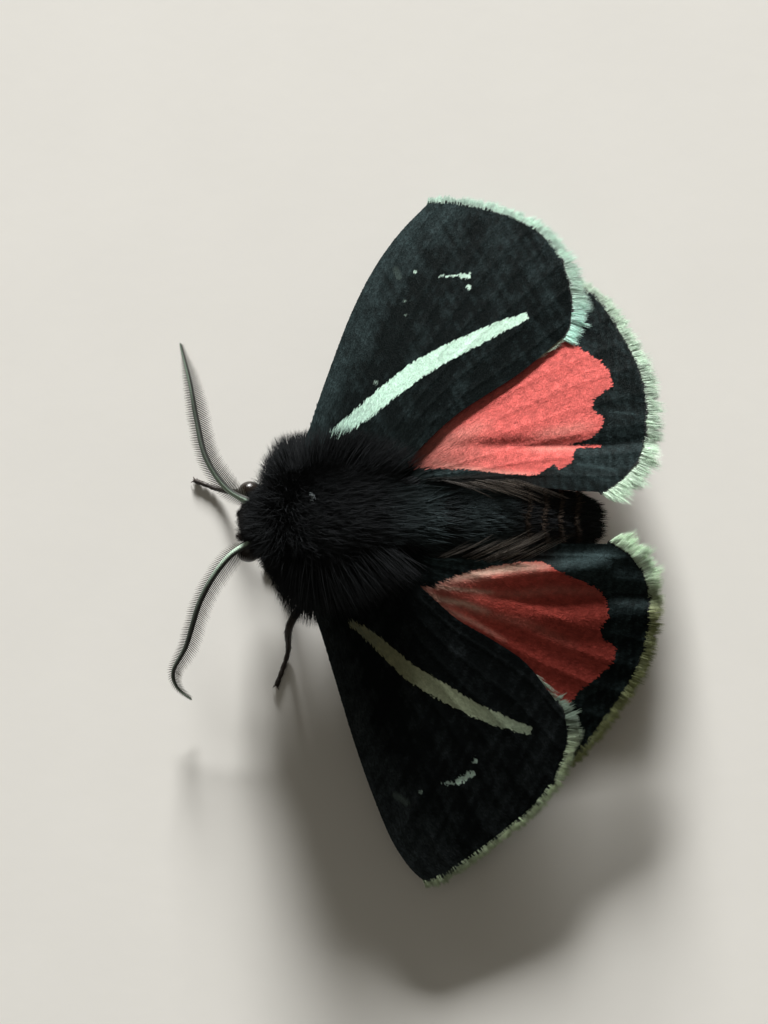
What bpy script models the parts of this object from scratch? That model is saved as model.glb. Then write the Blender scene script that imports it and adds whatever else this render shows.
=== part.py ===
"""A sonorarctia moth at rest with its wings half open, life size.

Lengths are in millimetres until a mesh is made, which is in metres, +Z up. The
moth stands on the plane z = 0, its head toward -Y and its left side toward +X.
Points are measured from the thorax's middle line, and CENTRE then moves the
whole moth so that its box is centred on the origin.
"""
import math
import random

import bmesh
import bpy
import numpy as np
from mathutils import Matrix

MM = 0.001
NAME = "sonorarctia_moth"
SIDES = {"left": 1, "right": -1}
GAP = 0.3
SLIVER = 0.0003
CENTRE = (0.1, -0.6)

# Body: each lump under its coat as its centre and its three radii
THORAX = ((0.0, -3.5, 4.15), (3.1, 3.8, 2.45))
HEAD = ((0.0, -6.75, 3.5), (1.4, 1.05, 1.2))
# The head with its coat: its locks stay inside this room, and the thorax outside it
HEAD_ROOM = ((0.0, -6.9, 3.55), (1.75, 1.25, 1.5))
EYE_PLACE = (1.42, -7.6, 3.4)
EYE_RADIUS = 0.55
PALP = [(0.45, -7.0, 2.6), (0.5, -7.7, 2.25), (0.5, -8.35, 2.45)]
PALP_RADII = [0.27, 0.27, 0.15]
# The abdomen's axis from front to tip: y, z, half width
ABDOMEN = [(0.6, 3.3, 1.45), (2.2, 3.25, 1.65), (4.4, 3.1, 1.6), (6.2, 2.9, 1.45), (7.2, 2.78, 1.15),
           (7.7, 2.7, 0.6)]
ABDOMEN_FLATNESS = 0.95
SEGMENTS = 7
SEGMENT_STEP = 0.09

# Coat: flat locks that rise from their roots and bend over to lie along it
THORAX_LOCKS = {"count": 130, "length": 1.7, "lift": 0.62, "half_width": 0.62}
HEAD_LOCKS = {"count": 60, "length": 0.85, "lift": 0.45, "half_width": 0.36}
TAIL_LOCKS = {"count": 11, "length": 0.8, "half_width": 0.36, "flare": 0.3, "half_thickness": 0.22}
LOCK_HALF_THICKNESS = 0.25
LOCK_SINK = 0.4
LOCK_TAPER = [0.85, 1.0, 0.7]
# A flat piece's thickness at its last ring, as a share of that at its first
BLADE_THINNING = 0.6
# Bare places: the wings' roots, the join of the abdomen and the hips, and the head's rear and chin
BARE_WING_ROOT = {"out": 2.0, "front": -5.4, "rear": 0.3, "reach": 0.5}
BARE_JOIN = {"front": -0.6, "top": 4.6}
BARE_HIPS_TOP = 2.3
BARE_HEAD = {"front": -6.4, "top": 2.9, "off_eye": 0.35}
# How far the head's locks stay inside its room
HEAD_LOCKS_CLEAR = 0.2

# Wings: a sloping surface over the plan, lower outward and rearward
WING_THICKNESS = 0.5
HINGE = (2.5, -3.0, 5.3)
WING_REACH = 12.5
SLOPE = math.radians(12.0)
FALL = math.radians(4.0)
DROOP = 0.35
VEIN_HEIGHT = 0.13
VEIN_FOOT = 0.16
# A wing's width at its root and at its outer edge
WING_WIDTH = (4.0, 9.0)
FOLD_DEPTH = 0.25
# The fringe at the tip and at the rear corner: its share of full length there, and over what share of the
# edge it grows to full
FRINGE_ENDS = ((0.5, 0.1), (0.3, 0.12))
FRINGE_NOTCH = 0.6
# Where each wing's base runs through the coat: from this far out, between these places along the body
FOREWING_BASE = {"out": 2.4, "front": -5.7, "rear": 1.4}
HINDWING_BASE = {"out": 1.4, "front": -1.0, "rear": 3.0}
# The hindwing lies under the forewing from here rearward
UNDERLAP = -2.6
COAT_CLEAR = 0.12
# The wings' plan leans to the right, rearward of this y: by how much is each wing's skew
SKEW_PIVOT = 1.6
FOREWING = {
    "costa": [(1.2, -5.0), (3.4, -4.72), (5.0, -4.33), (8.2, -3.3), (11.1, -2.28), (13.4, -1.15),
              (14.95, 0.05)],
    "outer": [(14.95, 0.05), (14.7, 1.4), (13.4, 3.9), (11.6, 5.65), (9.6, 6.33), (7.9, 5.95)],
    "inner": [(1.2, -1.4), (3.0, 0.1), (4.6, 2.1), (6.1, 4.2), (7.9, 5.95)],
    "skew": 0.09,
    "drop": 0.0,
    "fringe": 0.65,
    # Each vein: its place across the root, its place along the outer edge, and where it starts
    "veins": [(0.13, 0.05, 0.0), (0.27, 0.13, 0.0), (0.36, 0.24, 0.5), (0.43, 0.34, 0.5), (0.5, 0.45, 0.5),
              (0.57, 0.56, 0.5), (0.64, 0.67, 0.0), (0.74, 0.79, 0.3), (0.87, 0.92, 0.0)],
    "rows": [0.0, 0.15, 0.3, 0.5, 0.67, 0.84, 1.0],
    # The cell's end: its row and the first and last vein that it joins
    "cell": (0.5, 1, 6),
    "pleat": 0.03,
    # The web between two veins that folds down deepest
    "fold": None,
}
HINDWING = {
    "costa": [(1.2, -2.0), (3.2, -1.3), (6.2, 0.8), (8.8, 3.4), (10.5, 6.2)],
    "outer": [(10.5, 6.2), (9.0, 7.75), (6.75, 9.2), (4.7, 9.75), (2.8, 9.55), (1.5, 8.1)],
    "inner": [(1.2, -0.2), (2.2, 1.0), (1.95, 3.0), (1.85, 5.5), (1.5, 8.1)],
    "skew": 0.04,
    "drop": 1.0,
    "fringe": 0.65,
    "veins": [(0.12, 0.1, 0.0), (0.25, 0.22, 0.0), (0.36, 0.34, 0.5), (0.47, 0.45, 0.5), (0.58, 0.56, 0.5),
              (0.69, 0.68, 0.0), (0.8, 0.79, 0.0), (0.9, 0.9, 0.0)],
    "rows": [0.0, 0.25, 0.5, 0.75, 1.0],
    "cell": (0.5, 1, 5),
    "pleat": 0.1,
    "fold": 6,
}

# Legs: the path from hip to foot, and the limb's radius at each of its points
LEGS = {
    "foreleg_left": [(0.9, -5.0, 2.8), (1.8, -5.8, 1.5), (2.2, -6.2, 1.1), (1.9, -6.7, 0.3),
                     (1.5, -7.6, 0.22)],
    "foreleg_right": [(-0.9, -5.0, 2.8), (-1.3, -7.0, 1.5), (-1.6, -8.3, 1.3), (-2.0, -9.8, 0.3),
                      (-2.45, -11.0, 0.22)],
    "midleg_left": [(1.6, -4.0, 2.6), (3.2, -5.4, 1.5), (4.4, -6.15, 1.2), (5.5, -6.4, 0.3),
                    (6.95, -6.9, 0.22)],
    "midleg_right": [(-1.6, -4.0, 2.6), (-3.4, -4.2, 1.5), (-4.3, -4.2, 1.2), (-5.2, -3.9, 0.3),
                     (-6.4, -3.5, 0.22)],
    "hindleg_left": [(1.2, -1.8, 2.6), (2.8, -0.2, 1.5), (3.5, 0.7, 1.3), (4.3, 3.2, 0.3), (4.8, 4.9, 0.22)],
    "hindleg_right": [(-1.2, -1.8, 2.6), (-2.8, -0.2, 1.5), (-3.5, 0.7, 1.3), (-4.3, 3.2, 0.3),
                      (-4.8, 4.9, 0.22)],
}
LEG_RADII = [0.4, 0.4, 0.33, 0.27, 0.25]
CLAW = {"length": 0.55, "half_width": 0.13, "spread": math.radians(32), "sink": 0.12, "drop": 0.06}
LIMB_SAMPLES = 14

# Feelers: the shaft's path from the head to its tip, with a row of rays on either side
ANTENNAE = {
    "left": [(0.9, -7.2, 3.8), (1.5, -8.2, 3.9), (2.5, -9.15, 3.5), (3.6, -9.85, 3.0), (5.4, -10.6, 2.2),
             (6.5, -11.3, 1.6), (7.1, -11.2, 1.3), (7.65, -10.6, 0.9)],
    "right": [(-0.7, -7.3, 3.8), (-1.3, -8.4, 4.2), (-2.6, -9.3, 4.6), (-4.3, -9.75, 4.8),
              (-5.9, -10.05, 5.0), (-7.65, -10.5, 5.2)],
}
SHAFT_RADII = [0.25, 0.25, 0.25, 0.25, 0.13]
RAYS = {"count": 12, "first": 0.2, "last": 0.93, "half_width": 0.19, "half_thickness": 0.17, "sweep": 0.3,
        "sag": 0.12}
# The rows' first and last rays: their share of full length, and over how many rays it grows
RAY_ENDS = {"first": (0.75, 6), "last": (0.45, 5)}
# How far rays reach from the shaft's middle: on the feeler's front side and on its rear side
RAY_REACH = {"front": 0.55, "rear": 0.72}

COLOURS = {
    "fur": (0.012, 0.012, 0.014, 0.85, 0.0),
    "eye": (0.02, 0.015, 0.012, 0.15, 0.0),
    "forewing": (0.02, 0.024, 0.028, 0.6, 0.0),
    "hindwing": (0.62, 0.07, 0.05, 0.6, 0.0),
    "leg": (0.03, 0.02, 0.016, 0.5, 0.0),
    "feeler": (0.04, 0.05, 0.045, 0.5, 0.0),
}


def unit(vectors):
    """Vectors scaled to a length of one."""
    return vectors / np.linalg.norm(vectors, axis=-1, keepdims=True)


def smooth_path(points, fractions):
    """Places at the given fractions of the length of a smooth curve through the points."""
    points = np.asarray(points, float)
    knots = np.concatenate([[0.0], np.cumsum(np.linalg.norm(np.diff(points, axis=0), axis=1) ** 0.5)])
    slopes = np.gradient(points, knots, axis=0)
    t = np.linspace(0.0, knots[-1], 30 * len(points))
    i = np.clip(np.searchsorted(knots, t, "right") - 1, 0, len(points) - 2)
    span = (knots[i + 1] - knots[i])[:, None]
    s = (t - knots[i])[:, None] / span
    curve = ((1 + 2 * s) * (1 - s) ** 2 * points[i] + s * (1 - s) ** 2 * span * slopes[i]
             + s ** 2 * (3 - 2 * s) * points[i + 1] + s ** 2 * (s - 1) * span * slopes[i + 1])
    length = np.concatenate([[0.0], np.cumsum(np.linalg.norm(np.diff(curve, axis=0), axis=1))])
    fractions = np.asarray(fractions, float)
    return np.stack([np.interp(fractions, length / length[-1], curve[:, k])
                     for k in range(points.shape[1])], axis=-1)


def frames(path):
    """At each point of a path: the way ahead, sideways to its right, and above."""
    ahead = unit(np.gradient(path, axis=0))
    sideways = unit(np.cross(ahead, (0.0, 0.0, 1.0)))
    return ahead, sideways, np.cross(sideways, ahead)


def even(values, count):
    """Values spread evenly over a length, read at count even steps."""
    return np.interp(np.linspace(0, 1, count), np.linspace(0, 1, len(values)), values)


def material(name):
    """The named Principled material, made once."""
    found = bpy.data.materials.get(name)
    if found is None:
        red, green, blue, roughness, metallic = COLOURS[name]
        found = bpy.data.materials.new(name)
        found.use_nodes = True
        shader = found.node_tree.nodes["Principled BSDF"]
        shader.inputs["Base Color"].default_value = (red, green, blue, 1.0)
        shader.inputs["Roughness"].default_value = roughness
        shader.inputs["Metallic"].default_value = metallic
    return found


def collection(name):
    """The named collection, made and linked once."""
    found = bpy.data.collections.get(name)
    if found is None:
        found = bpy.data.collections.new(name)
        bpy.context.scene.collection.children.link(found)
    return found


def add(name, shape, where):
    """Link a new object made of a bmesh whose faces are turned outward."""
    bmesh.ops.recalc_face_normals(shape, faces=shape.faces)
    mesh = bpy.data.meshes.new(name)
    shape.to_mesh(mesh)
    shape.free()
    obj = bpy.data.objects.new(name, mesh)
    collection(where).objects.link(obj)
    return obj


def from_points(name, points, faces, where=NAME):
    """An object from points in millimetres and its faces' corners."""
    points = (np.asarray(points, float) - (*CENTRE, 0.0)) * MM
    mesh = bpy.data.meshes.new(name)
    mesh.from_pydata(points.tolist(), [], faces)
    shape = bmesh.new()
    shape.from_mesh(mesh)
    bpy.data.meshes.remove(mesh)
    return add(name, shape, where)


def ball(name, lump, where=NAME, segments=24, rings=14, grow=0.0):
    """A ball scaled to a lump's three radii, all grown by the same depth."""
    shape = bmesh.new()
    bmesh.ops.create_uvsphere(shape, u_segments=segments, v_segments=rings, radius=1.0)
    size = [(radius + grow) * MM for radius in lump[1]]
    spot = (np.array(lump[0]) - (*CENTRE, 0.0)) * MM
    bmesh.ops.transform(shape, matrix=Matrix.LocRotScale(spot.tolist(), None, size), verts=shape.verts)
    return add(name, shape, where)


def loft(name, path, across, up, sides=12, where=NAME):
    """A closed tube: oval rings of half width across and half height up along a path."""
    _, sideways, above = frames(path)
    turn = np.arange(sides) * 2 * math.pi / sides
    wide = np.asarray(across)[:, None, None] * np.cos(turn)[None, :, None] * sideways[:, None]
    high = np.asarray(up)[:, None, None] * np.sin(turn)[None, :, None] * above[:, None]
    rings = path[:, None] + wide + high
    last = (len(path) - 1) * sides
    faces = [(r + k, r + (k + 1) % sides, r + sides + (k + 1) % sides, r + sides + k)
             for r in range(0, last, sides) for k in range(sides)]
    faces += [tuple(range(sides)), tuple(range(last, last + sides))]
    return from_points(name, rings.reshape(-1, 3), faces, where)


def blade(name, path, across, half_widths, half_thickness):
    """A flat tapered piece: four-sided rings along a path that ends in a point."""
    above = unit(np.cross(across, unit(np.gradient(path, axis=0))))[:-1]
    wide = np.asarray(half_widths)[:, None] * across[:-1]
    thick = half_thickness * np.linspace(1, BLADE_THINNING, len(half_widths))[:, None] * above
    middle = path[:-1]
    rings = np.stack([middle + wide, middle + thick, middle - wide, middle - thick], axis=1)
    points = np.concatenate([rings.reshape(-1, 3), path[-1:]])
    last = 4 * (len(middle) - 1)
    faces = [(r + k, r + (k + 1) % 4, r + 4 + (k + 1) % 4, r + 4 + k)
             for r in range(0, last, 4) for k in range(4)]
    faces += [(last + k, last + (k + 1) % 4, last + 4) for k in range(4)] + [(0, 1, 2, 3)]
    return from_points(name, points, faces, "pieces")


def boolean(obj, other, operation):
    """Apply a Boolean with one object or a whole collection, and keep the largest surface."""
    modifier = obj.modifiers.new(operation.lower(), "BOOLEAN")
    modifier.operation = operation
    modifier.solver = "MANIFOLD"
    if isinstance(other, bpy.types.Collection):
        modifier.operand_type = "COLLECTION"
        modifier.collection = other
    else:
        modifier.object = other
    graph = bpy.context.evaluated_depsgraph_get()
    mesh = bpy.data.meshes.new_from_object(obj.evaluated_get(graph))
    obj.modifiers.clear()
    old, obj.data = obj.data, mesh
    mesh.name = obj.name
    bpy.data.meshes.remove(old)
    keep_largest(obj)


def keep_largest(obj):
    """Keep a mesh's largest closed surface and drop the rest."""
    shape = bmesh.new()
    shape.from_mesh(obj.data)
    bmesh.ops.triangulate(shape, faces=shape.faces)
    left = set(shape.verts)
    shells = []
    while left:
        shell, front = set(), [left.pop()]
        while front:
            vert = front.pop()
            shell.add(vert)
            near = {edge.other_vert(vert) for edge in vert.link_edges} & left
            left -= near
            front += near
        shells.append(shell)
    largest = max(shells, key=len)
    bmesh.ops.delete(shape, geom=[v for v in shape.verts if v not in largest], context="VERTS")
    shape.to_mesh(obj.data)
    shape.free()


def remove(obj):
    """Delete an object with its mesh."""
    mesh = obj.data
    bpy.data.objects.remove(obj)
    bpy.data.meshes.remove(mesh)


def cut(objects, cutters):
    """Cut every object clear of every cutter, and remove the cutters."""
    for cutter in cutters:
        cutter.hide_render = True
        cutter.display_type = "WIRE"
        for obj in objects:
            boolean(obj, cutter, "DIFFERENCE")
        remove(cutter)


def fuse(obj, pieces):
    """Join the collection of pieces to an object with one union, and remove them."""
    boolean(obj, collection("pieces"), "UNION")
    for piece in pieces:
        remove(piece)
    bpy.data.collections.remove(collection("pieces"))


def finish(obj, slot):
    """Collapse a piece's slivers, and give it its material and smooth shading."""
    shape = bmesh.new()
    shape.from_mesh(obj.data)
    bmesh.ops.dissolve_degenerate(shape, edges=shape.edges, dist=SLIVER * MM)
    bmesh.ops.triangulate(shape, faces=shape.faces)
    shape.to_mesh(obj.data)
    shape.free()
    obj.data.materials.clear()
    obj.data.materials.append(material(slot))
    obj.data.shade_smooth()
    obj.data.set_sharp_from_angle(angle=math.radians(40))


def wing_height(x, y, drop):
    """A wing's middle surface: its height over a place in plan, alike on both sides."""
    out = np.abs(x) - HINGE[0]
    return (HINGE[2] - math.tan(SLOPE) * out - DROOP * (np.maximum(out, 0.0) / WING_REACH) ** 2
            - math.tan(FALL) * (y - HINGE[1]) - drop)


def wing_columns(shape, v):
    """Each column's place across the wing at row v, and its part: a vein's number, foot, web or edge."""
    foot = VEIN_FOOT / np.interp(v, (0.0, 1.0), WING_WIDTH)
    places, parts = [0.0], ["edge"]
    for vein, (base, tip, _) in enumerate(shape["veins"]):
        crest = base + (tip - base) * v
        places += [(places[-1] + crest) / 2, crest - foot, crest, crest + foot]
        parts += ["web", "foot", vein, "foot"]
    places += [(places[-1] + 1.0) / 2, 1.0]
    parts += ["web", "edge"]
    return np.array(places), parts


def column_rise(shape, v, parts):
    """How far each column of row v rises along a vein or sinks in a pleat."""
    cell_row, first, last = shape["cell"]
    rise = np.zeros(len(parts))
    webs = [column for column, part in enumerate(parts) if part == "web"]
    rise[webs] = -shape["pleat"] * v
    if shape["fold"] is not None:
        rise[webs[shape["fold"]]] = -FOLD_DEPTH * v
    for column, part in enumerate(parts):
        in_cell_end = v == cell_row and first * 4 + 3 <= column <= last * 4 + 3
        if part == "edge" or in_cell_end or (isinstance(part, int) and v >= shape["veins"][part][2]):
            rise[column] = VEIN_HEIGHT
    return rise


def wing(name, shape, side):
    """A wing: a thin plate whose surface rises along its veins, with a toothed fringe.

    The plan is a patch between the front edge, the rear edge and the outer
    edge. Columns run from root to outer edge, and the fringe is one row more.
    """
    rows = shape["rows"]
    costa = smooth_path(shape["costa"], rows)
    inner = smooth_path(shape["inner"], rows)
    plan, rise = [], []
    for row, v in enumerate(rows):
        places, parts = wing_columns(shape, v)
        edge = smooth_path(shape["outer"], places)
        u = places[:, None]
        bow = edge - (1 - u) * edge[0] - u * edge[-1]
        plan.append((1 - u) * costa[row] + u * inner[row] + v * bow)
        rise.append(column_rise(shape, v, parts))
    along = unit(np.gradient(plan[-1], axis=0))
    outward = np.stack([-along[:, 1], along[:, 0]], axis=1)
    outward *= np.sign(np.sum(outward * (plan[-1] - plan[-2]), axis=1))[:, None]
    (at_tip, tip_run), (at_corner, corner_run) = FRINGE_ENDS
    reach = np.clip(np.minimum(at_tip + places / tip_run, at_corner + (1 - places) / corner_run), 0, 1)
    tooth = np.array([FRINGE_NOTCH if part == "foot" else 1.0 for part in parts])
    plan.append(plan[-1] + outward * (shape["fringe"] * reach * tooth)[:, None])
    rise.append(np.zeros(len(parts)))
    plan = np.array(plan)
    y = plan[..., 1]
    x = side * plan[..., 0] - shape["skew"] * (y - SKEW_PIVOT)
    middle = np.stack([x, y, wing_height(x, y, shape["drop"]) + np.array(rise)], axis=-1)
    half = np.array([0, 0, WING_THICKNESS / 2])
    return plate(name, middle + half, middle - half)


def plate(name, top, bottom):
    """A closed plate between two grids of points, split into triangles alike on both."""
    rows, columns = top.shape[:2]
    grid = np.arange(rows * columns).reshape(rows, columns)
    a, b, c, d = grid[:-1, :-1].ravel(), grid[1:, :-1].ravel(), grid[1:, 1:].ravel(), grid[:-1, 1:].ravel()
    faces = np.concatenate([np.stack([a, b, c], 1), np.stack([a, c, d], 1)])
    rim = np.concatenate([grid[:-1, 0], grid[-1, :-1], grid[:0:-1, -1], grid[0, :0:-1]])
    after = np.roll(rim, -1)
    under = rows * columns
    sides = np.concatenate([np.stack([rim, rim + under, after + under], 1),
                            np.stack([rim, after + under, after], 1)])
    faces = np.concatenate([faces, faces[:, ::-1] + under, sides])
    return from_points(name, np.concatenate([top.reshape(-1, 3), bottom.reshape(-1, 3)]), faces.tolist())


def limb(name, points, radii, sides=8, samples=LIMB_SAMPLES):
    """A tapered limb along a smooth path."""
    path = smooth_path(points, np.linspace(0, 1, samples))
    widths = even(radii, samples)
    return loft(name, path, widths, widths, sides)


def limb_room(points, radii, lump):
    """The room that a limb needs in the coat round it, from where it leaves its lump."""
    path = smooth_path(points, np.linspace(0, 1, 2 * LIMB_SAMPLES))
    outside = np.sum(((path - lump[0]) / np.array(lump[1])) ** 2, axis=1) > 1
    widths = even(radii, len(path))[outside] + GAP
    return loft("limb_room", path[outside], widths, widths, 8, "cutters")


def abdomen(name, grow=0.0, where=NAME):
    """The abdomen: oval rings along its axis that step down from each segment to the next."""
    steps = [(k + part) / SEGMENTS for k in range(SEGMENTS) for part in (0.06, 0.94)]
    fractions = np.array([0.0, *steps, 1.0])
    profile = smooth_path(ABDOMEN, fractions)
    path = np.stack([np.zeros(len(profile)), profile[:, 0], profile[:, 1]], axis=1)
    path[0, 1] -= grow
    path[-1, 1] += grow
    step = SEGMENT_STEP * (fractions * SEGMENTS % 1.0 > 0.5) * (fractions < 0.95)
    radii = profile[:, 2] + grow + step
    return loft(name, path, radii, radii * ABDOMEN_FLATNESS, 20, where)


def floor_cutter():
    """A box under the floor."""
    size = 40.0
    x, y = CENTRE
    corners = [(x + i * size, y + j * size, z)
               for z in (-5.0, 0.0) for i, j in ((-1, -1), (1, -1), (1, 1), (-1, 1))]
    faces = [(0, 1, 2, 3), (4, 5, 6, 7), (0, 1, 5, 4), (1, 2, 6, 5), (2, 3, 7, 6), (3, 0, 4, 7)]
    return from_points("floor", corners, faces, "cutters")


def spread(count):
    """Even directions over a ball, by the golden angle."""
    index = np.arange(count) + 0.5
    z = 1 - 2 * index / count
    turn = index * math.pi * (3 - math.sqrt(5))
    radius = np.sqrt(1 - z * z)
    return np.stack([radius * np.cos(turn), radius * np.sin(turn), z], axis=1)


def coat(lump, size, lie, grows, clear, seed):
    """Locks rooted evenly over a lump, each bending from its root to lie along the coat.

    lie gives a lock's direction from its place on the unit ball, grows says
    whether one is rooted at a point, and clear bends a path off its neighbours.
    """
    draw = random.Random(seed)
    centre, radii = np.array(lump[0]), np.array(lump[1])
    f = np.linspace(0, 1, len(LOCK_TAPER) + 1)[:, None]
    locks = []
    for place in spread(size["count"]):
        root = centre + radii * place
        if not grows(root):
            continue
        normal = unit(place / radii)
        along = np.array(lie(place))
        along = unit(along - normal * np.dot(along, normal))
        length = size["length"] * draw.uniform(0.8, 1.15)
        sway = np.cross(normal, along) * length * draw.uniform(-0.25, 0.25)
        lift = size["lift"] * draw.uniform(0.8, 1.2)
        rise = (LOCK_SINK + lift) * np.sin(f * math.pi / 2) ** 0.9 - LOCK_SINK
        path = clear(root + along * length * f + sway * f ** 2 + normal * rise)
        across = unit(np.cross(np.gradient(path, axis=0), normal))
        widths = size["half_width"] * draw.uniform(0.85, 1.15) * np.array(LOCK_TAPER)
        locks.append(blade("lock", path, across, widths, LOCK_HALF_THICKNESS))
    return locks


def inside(point, lump, grow=0.0):
    """Whether a point lies inside a lump grown by a depth."""
    return np.sum(((point - lump[0]) / (np.array(lump[1]) + grow)) ** 2) < 1


def clear_of_wings(path):
    """Raise or lower a lock's path off the wings' bases, to the side where its root is."""
    x, y, z = path.T
    by_forewing, by_hindwing = [(np.abs(x) > base["out"]) & (y > base["front"]) & (y < base["rear"])
                                for base in (FOREWING_BASE, HINDWING_BASE)]
    middle = wing_height(x, y, 0.0)
    room = WING_THICKNESS / 2 + VEIN_HEIGHT + GAP + LOCK_HALF_THICKNESS + COAT_CLEAR
    if z[0] > middle[0] - GAP:
        z = np.where(by_hindwing, np.maximum(z, middle + room - HINDWING["drop"]), z)
        z = np.where(by_forewing, np.maximum(z, middle + room), z)
    else:
        z = np.where(by_forewing, np.minimum(z, middle - room), z)
        by_either = by_hindwing | by_forewing & (y > UNDERLAP)
        z = np.where(by_either, np.minimum(z, middle - room - HINDWING["drop"]), z)
    return np.stack([x, y, z], axis=1)


def thorax_coat():
    """Locks of the thorax, off the wings' roots, the head, the abdomen and the hips."""
    def grows(root):
        x, y, z = root
        bare = BARE_WING_ROOT
        rise = z - wing_height(x, y, 0.0)
        level = -bare["reach"] - HINDWING["drop"] * (y > UNDERLAP) < rise < bare["reach"]
        at_wing = abs(x) > bare["out"] and bare["front"] < y < bare["rear"] and level
        at_join = y > BARE_JOIN["front"] and z < BARE_JOIN["top"]
        return not (at_wing or at_join or z < BARE_HIPS_TOP or inside(root, HEAD_ROOM, HEAD_LOCKS_CLEAR))

    return coat(THORAX, THORAX_LOCKS, lambda p: (0.5 * p[0], 1.0, 0.1 * p[2]), grows, clear_of_wings, 3)


def head_coat():
    """Locks of the head, brushed forward and kept inside its room."""
    def grows(root):
        x, y, z = root
        to_eye = np.linalg.norm((abs(x), y, z) - np.array(EYE_PLACE)) - EYE_RADIUS
        return y < BARE_HEAD["front"] and z > BARE_HEAD["top"] and to_eye > BARE_HEAD["off_eye"]

    def clear(path):
        centre, radii = np.array(HEAD_ROOM[0]), np.array(HEAD_ROOM[1]) - HEAD_LOCKS_CLEAR
        distance = np.linalg.norm((path - centre) / radii, axis=1, keepdims=True)
        return centre + (path - centre) / np.maximum(distance, 1.0)

    return coat(HEAD, HEAD_LOCKS, lambda p: (0.4 * p[0], -1.0, 0.3), grows, clear, 5)


def tail_tuft():
    """Locks round the abdomen's tip, spreading a little rearward."""
    draw = random.Random(7)
    count = TAIL_LOCKS["count"]
    y, z, radius = ABDOMEN[-2]
    f = np.linspace(0, 1, len(LOCK_TAPER) + 1)[:, None]
    locks = []
    for index in range(count):
        turn = 2 * math.pi * index / count
        out = np.array([math.cos(turn), 0.0, math.sin(turn) * ABDOMEN_FLATNESS])
        length = TAIL_LOCKS["length"] * draw.uniform(0.85, 1.15)
        start = np.array([0.0, y, z]) + out * (radius - LOCK_SINK)
        path = start + np.array([0.0, length, 0.0]) * f + out * TAIL_LOCKS["flare"] * np.sin(f * math.pi / 2)
        across = np.tile(np.cross(out, (0.0, 1.0, 0.0)), (len(f), 1))
        widths = TAIL_LOCKS["half_width"] * np.array(LOCK_TAPER)
        locks.append(blade("tuft", path, across, widths, TAIL_LOCKS["half_thickness"]))
    return locks


def rays(points, side):
    """The feeler's two rows of rays, swept toward its tip and sagging a little."""
    path = smooth_path(points, np.linspace(0, 1, 60))
    ahead, sideways, above = frames(path)
    places = np.linspace(RAYS["first"], RAYS["last"], RAYS["count"]) * (len(path) - 1)
    (at_first, first_run), (at_last, last_run) = RAY_ENDS["first"], RAY_ENDS["last"]
    f = np.linspace(0, 1, 3)[:, None]
    made = []
    for index, at in enumerate(places.round().astype(int)):
        shrink = min(1.0, at_first + index / first_run, at_last + (len(places) - 1 - index) / last_run)
        for row, reach in RAY_REACH.items():
            out = sideways[at] * side * (1 if row == "front" else -1)
            length = reach * shrink
            tip_path = (path[at] + out * length * f + ahead[at] * RAYS["sweep"] * length * f ** 2
                        - above[at] * RAYS["sag"] * length * f ** 2)
            across = np.tile(ahead[at], (len(f), 1))
            widths = RAYS["half_width"] * np.array([1.0, 0.75])
            made.append(blade("ray", tip_path, across, widths, RAYS["half_thickness"]))
    return made


def claws(points):
    """A foot's two claws, spreading from the end of its path."""
    path = smooth_path(points, np.linspace(0, 1, LIMB_SAMPLES))
    ahead, sideways, _ = frames(path)
    f = np.linspace(0, 1, 3)[:, None]
    made = []
    for way in (-1, 1):
        out = ahead[-1] * math.cos(CLAW["spread"]) + sideways[-1] * way * math.sin(CLAW["spread"])
        start = path[-1] - ahead[-1] * CLAW["sink"]
        claw = start + out * CLAW["length"] * f - np.array([0.0, 0.0, CLAW["drop"]]) * f ** 2
        across = np.tile(unit(np.cross(out, (0.0, 0.0, 1.0))), (len(f), 1))
        widths = CLAW["half_width"] * np.array([1.0, 0.8])
        made.append(blade("claw", claw, across, widths, CLAW["half_width"]))
    return made


def eye_lump(sign, grow=0.0):
    """An eye's ball."""
    return (sign * EYE_PLACE[0], *EYE_PLACE[1:]), [EYE_RADIUS + grow] * 3


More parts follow.
